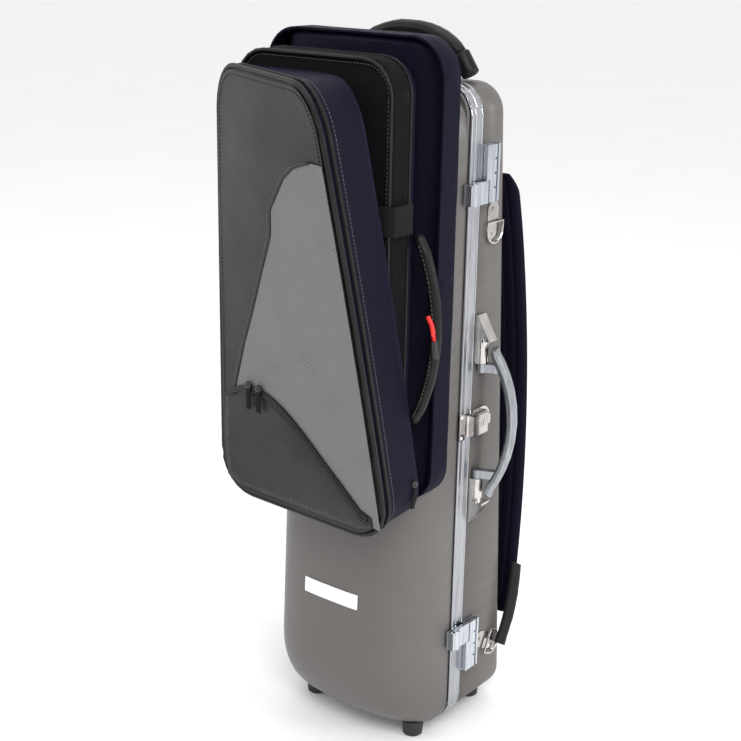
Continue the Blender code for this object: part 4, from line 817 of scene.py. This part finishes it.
# Briefcase stitches, its handle's thread and red pull
STITCH_INSET = 0.006
STITCH_Y = -0.1252
TEETH_OUT = 0.0004
briefcase_edge = filled(rounded(BRIEFCASE_HALF - STITCH_INSET, BRIEFCASE_Z[0] + STITCH_INSET,
                                BRIEFCASE_Z[1] - STITCH_INSET, BRIEFCASE_CORNER - STITCH_INSET), LINE_STEP)
stitches("briefcase_stitches", [place(x, STITCH_Y, z) for x, z in briefcase_edge], "thread", "lid",
         cyclic=True)
zip_low, zip_high = corners_of("briefcase_zip")
zip_y = (zip_low.y + zip_high.y) / 2 - ORIGIN.y
zip_edge = filled(rounded(BRIEFCASE_HALF + TEETH_OUT, BRIEFCASE_Z[0] - TEETH_OUT, BRIEFCASE_Z[1] + TEETH_OUT,
                          BRIEFCASE_CORNER), LINE_STEP)
zip_teeth("briefcase_zip_teeth", [place(x, zip_y, z) for x, z in zip_edge], 0.0022, (0.0012, 0.0016, 0.0028),
          "lid", cyclic=True)

HANDLE_ENDS = (0.405, 0.600)
HANDLE_REACH = 0.026
HANDLE_GAP = 0.0003
THREAD_STEPS = 30
THREAD_SHARES = (0.04, 0.92)
RIBBON = ((18, (-0.004, -0.0022, 0.002)), (17, (0.001, -0.0026, 0.0)), (16, (0.003, -0.0028, -0.002)),
          (16, (0.004, -0.0028, -0.010)))
RIBBON_END = ((0.0, 0.0, 0.0), (0.001, 0.0, -0.009), (0.002, 0.0, -0.018))
handle_low, handle_high = corners_of("briefcase_handle")
handle_radius = (handle_high.y - handle_low.y) / 2
handle_middle_y = (handle_low.y + handle_high.y) / 2 - ORIGIN.y
thread = []
for step in range(THREAD_STEPS + 1):
    share = THREAD_SHARES[0] + THREAD_SHARES[1] * step / THREAD_STEPS
    x = BRIEFCASE_HALF + HANDLE_GAP + handle_radius + HANDLE_REACH * math.sin(math.pi * share) ** 0.75
    z = HANDLE_ENDS[0] + (HANDLE_ENDS[1] - HANDLE_ENDS[0]) * share
    thread.append(place(x, handle_middle_y - handle_radius, z))
row_of("briefcase_handle_stitches", thread, 0.0046, (0.0028, 0.0007, 0.0006), FACING_OUT, "thread", "lid",
       "zip")
ribbon = [thread[index] + Vector(offset) for index, offset in RIBBON]
tube("zip_ribbon", ribbon, 0.0024, "red", "lid", "zip")
tube("zip_ribbon_end", [ribbon[-1] + Vector(offset) for offset in RIBBON_END], 0.0036, "dark", "lid", "zip")

# Webbing band round the briefcase's right side
BAND_Z = (0.604, 0.634)
BAND_PATH = ((0.086, -0.1300), (0.098, -0.1290), (0.1035, -0.1245), (0.1045, -0.1120), (0.1045, -0.0960))
BAND_THICKNESS = 0.0014
BAND_SIDE_GAP = 0.0016
BAND_FORWARD = 0.6
BAND_ROWS = 8


def band_grid(out):
    return [[place(x + out, y - out * BAND_FORWARD, BAND_Z[0] + (BAND_Z[1] - BAND_Z[0]) * row / BAND_ROWS)
             for x, y in BAND_PATH] for row in range(BAND_ROWS + 1)]


closed_sheet("briefcase_webbing_band", band_grid(BAND_SIDE_GAP + BAND_THICKNESS), band_grid(BAND_SIDE_GAP),
             "zip", "lid", "zip")

# Beads along the two rims
BEAD_RADIUS = 0.0011
BEAD_SUNK = 0.0004
BEADS = ((0.0012, "lid"), (0.0080, "lid"), (0.0196, "base"))
bead_out = RIM_PROUD - BEAD_SUNK
rim_height = RIM_HIGH.z - RIM_LOW.z - 2 * RIM_PROUD
rim_line = filled(rounded(HALF_WIDTH + bead_out, -bead_out, rim_height + bead_out, CORNER_RADIUS + RIM_PROUD),
                  0.020)
for number, (y, body) in enumerate(BEADS):
    tube(f"rim_bead_{number}", [place(x, y, z) for x, z in rim_line], BEAD_RADIUS, "aluminium", body,
         "aluminium", cyclic=True)

# Small heads: the levers' dimples, the brackets' screws and the strike plate's rivets
for tag in ("upper", "lower"):
    low, high = corners_of(tag + "_latch_lever")
    for number, share in enumerate((0.25, 0.5, 0.75)):
        centre = Vector((high.x, low.y + 0.80 * (high.y - low.y), low.z + share * (high.z - low.z)))
        dome(f"{tag}_lever_dimple_{number}", centre, 0.0014, 0.0004, (1, 0, 0), "dark", tag + "_lever",
             "chrome")
    low, high = corners_of("handle_bracket_" + tag)
    centre = Vector((low.x + 0.55 * (high.x - low.x), low.y - 0.0001, low.z + 0.5 * (high.z - low.z)))
    dome(f"bracket_screw_{tag}", centre, 0.0026, 0.0009, FACING_OUT, "chrome", "base", "chrome")
low, high = corners_of("lock_strike_plate")
for number, share in enumerate((0.12, 0.88)):
    centre = Vector((high.x, low.y + 0.25 * (high.y - low.y), low.z + share * (high.z - low.z)))
    dome(f"strike_rivet_{number}", centre, 0.0019, 0.0009, (1, 0, 0), "label", "lid", "chrome")

# Camera, as the photograph was taken
CAMERA_AT = (0.91243, -1.18812, 0.90151)
CAMERA_TURN = math.radians(38.09)
CAMERA_TILT = math.radians(18.03)
CAMERA_ROLL = math.radians(1.08)
LENS = 67.63
SENSOR_WIDTH = 36.0

back = Vector((math.sin(CAMERA_TURN) * math.cos(CAMERA_TILT), -math.cos(CAMERA_TURN) * math.cos(CAMERA_TILT),
               math.sin(CAMERA_TILT)))
right = (-back).cross(Vector((0, 0, 1))).normalized()
upward = right.cross(-back)
rolled_right = right * math.cos(CAMERA_ROLL) + upward * math.sin(CAMERA_ROLL)
rolled_up = upward * math.cos(CAMERA_ROLL) - right * math.sin(CAMERA_ROLL)
camera = bpy.data.objects.new("camera", bpy.data.cameras.new("camera"))
camera.data.lens = LENS
camera.data.sensor_width = SENSOR_WIDTH
camera.matrix_world = (Matrix.Translation(place(*CAMERA_AT))
                       @ Matrix((rolled_right, rolled_up, back)).transposed().to_4x4())
bpy.context.scene.collection.objects.link(camera)
bpy.context.scene.camera = camera

# Pale floor
FLOOR_HALF = 60.0
floor_mesh = bpy.data.meshes.new("floor")
floor_corners = [(x * FLOOR_HALF, y * FLOOR_HALF, 0) for x, y in ((-1, -1), (1, -1), (1, 1), (-1, 1))]
floor_mesh.from_pydata(floor_corners, [], [(0, 1, 2, 3)])
floor = bpy.data.objects.new("floor", floor_mesh)
floor.location.z = START_BOUNDS[0][2]
bpy.context.scene.collection.objects.link(floor)
floor_finish = material("floor", (0.93, 0.93, 0.93), 0.8)
vary(floor_finish, noise_factor(floor_finish, 3.0), (0.92, 0.92, 0.92), (0.94, 0.94, 0.94))
floor.data.materials.append(floor_finish)

# Soft studio light: name, place, size in metres, power in watts
LIGHTS = (("key", (1.7, -1.6, 2.4), 1.1, 40.0), ("fill", (-2.2, -1.8, 1.5), 1.4, 10.0),
          ("side", (2.4, 0.6, 1.1), 0.9, 20.0), ("top", (0.0, 0.3, 2.8), 1.6, 12.0))
AIM = Vector((0.0, 0.0, 0.4))
WORLD_STRENGTH = 0.95
for name, at, size, power in LIGHTS:
    light = bpy.data.objects.new(name, bpy.data.lights.new(name, "AREA"))
    light.data.size = size
    light.data.energy = power
    light.location = at
    light.rotation_euler = (Vector(at) - AIM).to_track_quat("Z", "Y").to_euler()
    bpy.context.scene.collection.objects.link(light)

world = bpy.data.worlds.new("studio")
world.use_nodes = True
world.node_tree.nodes["Background"].inputs["Color"].default_value = (1.0, 1.0, 1.0, 1.0)
world.node_tree.nodes["Background"].inputs["Strength"].default_value = WORLD_STRENGTH
bpy.context.scene.world = world
bpy.context.scene.view_settings.view_transform = "Standard"
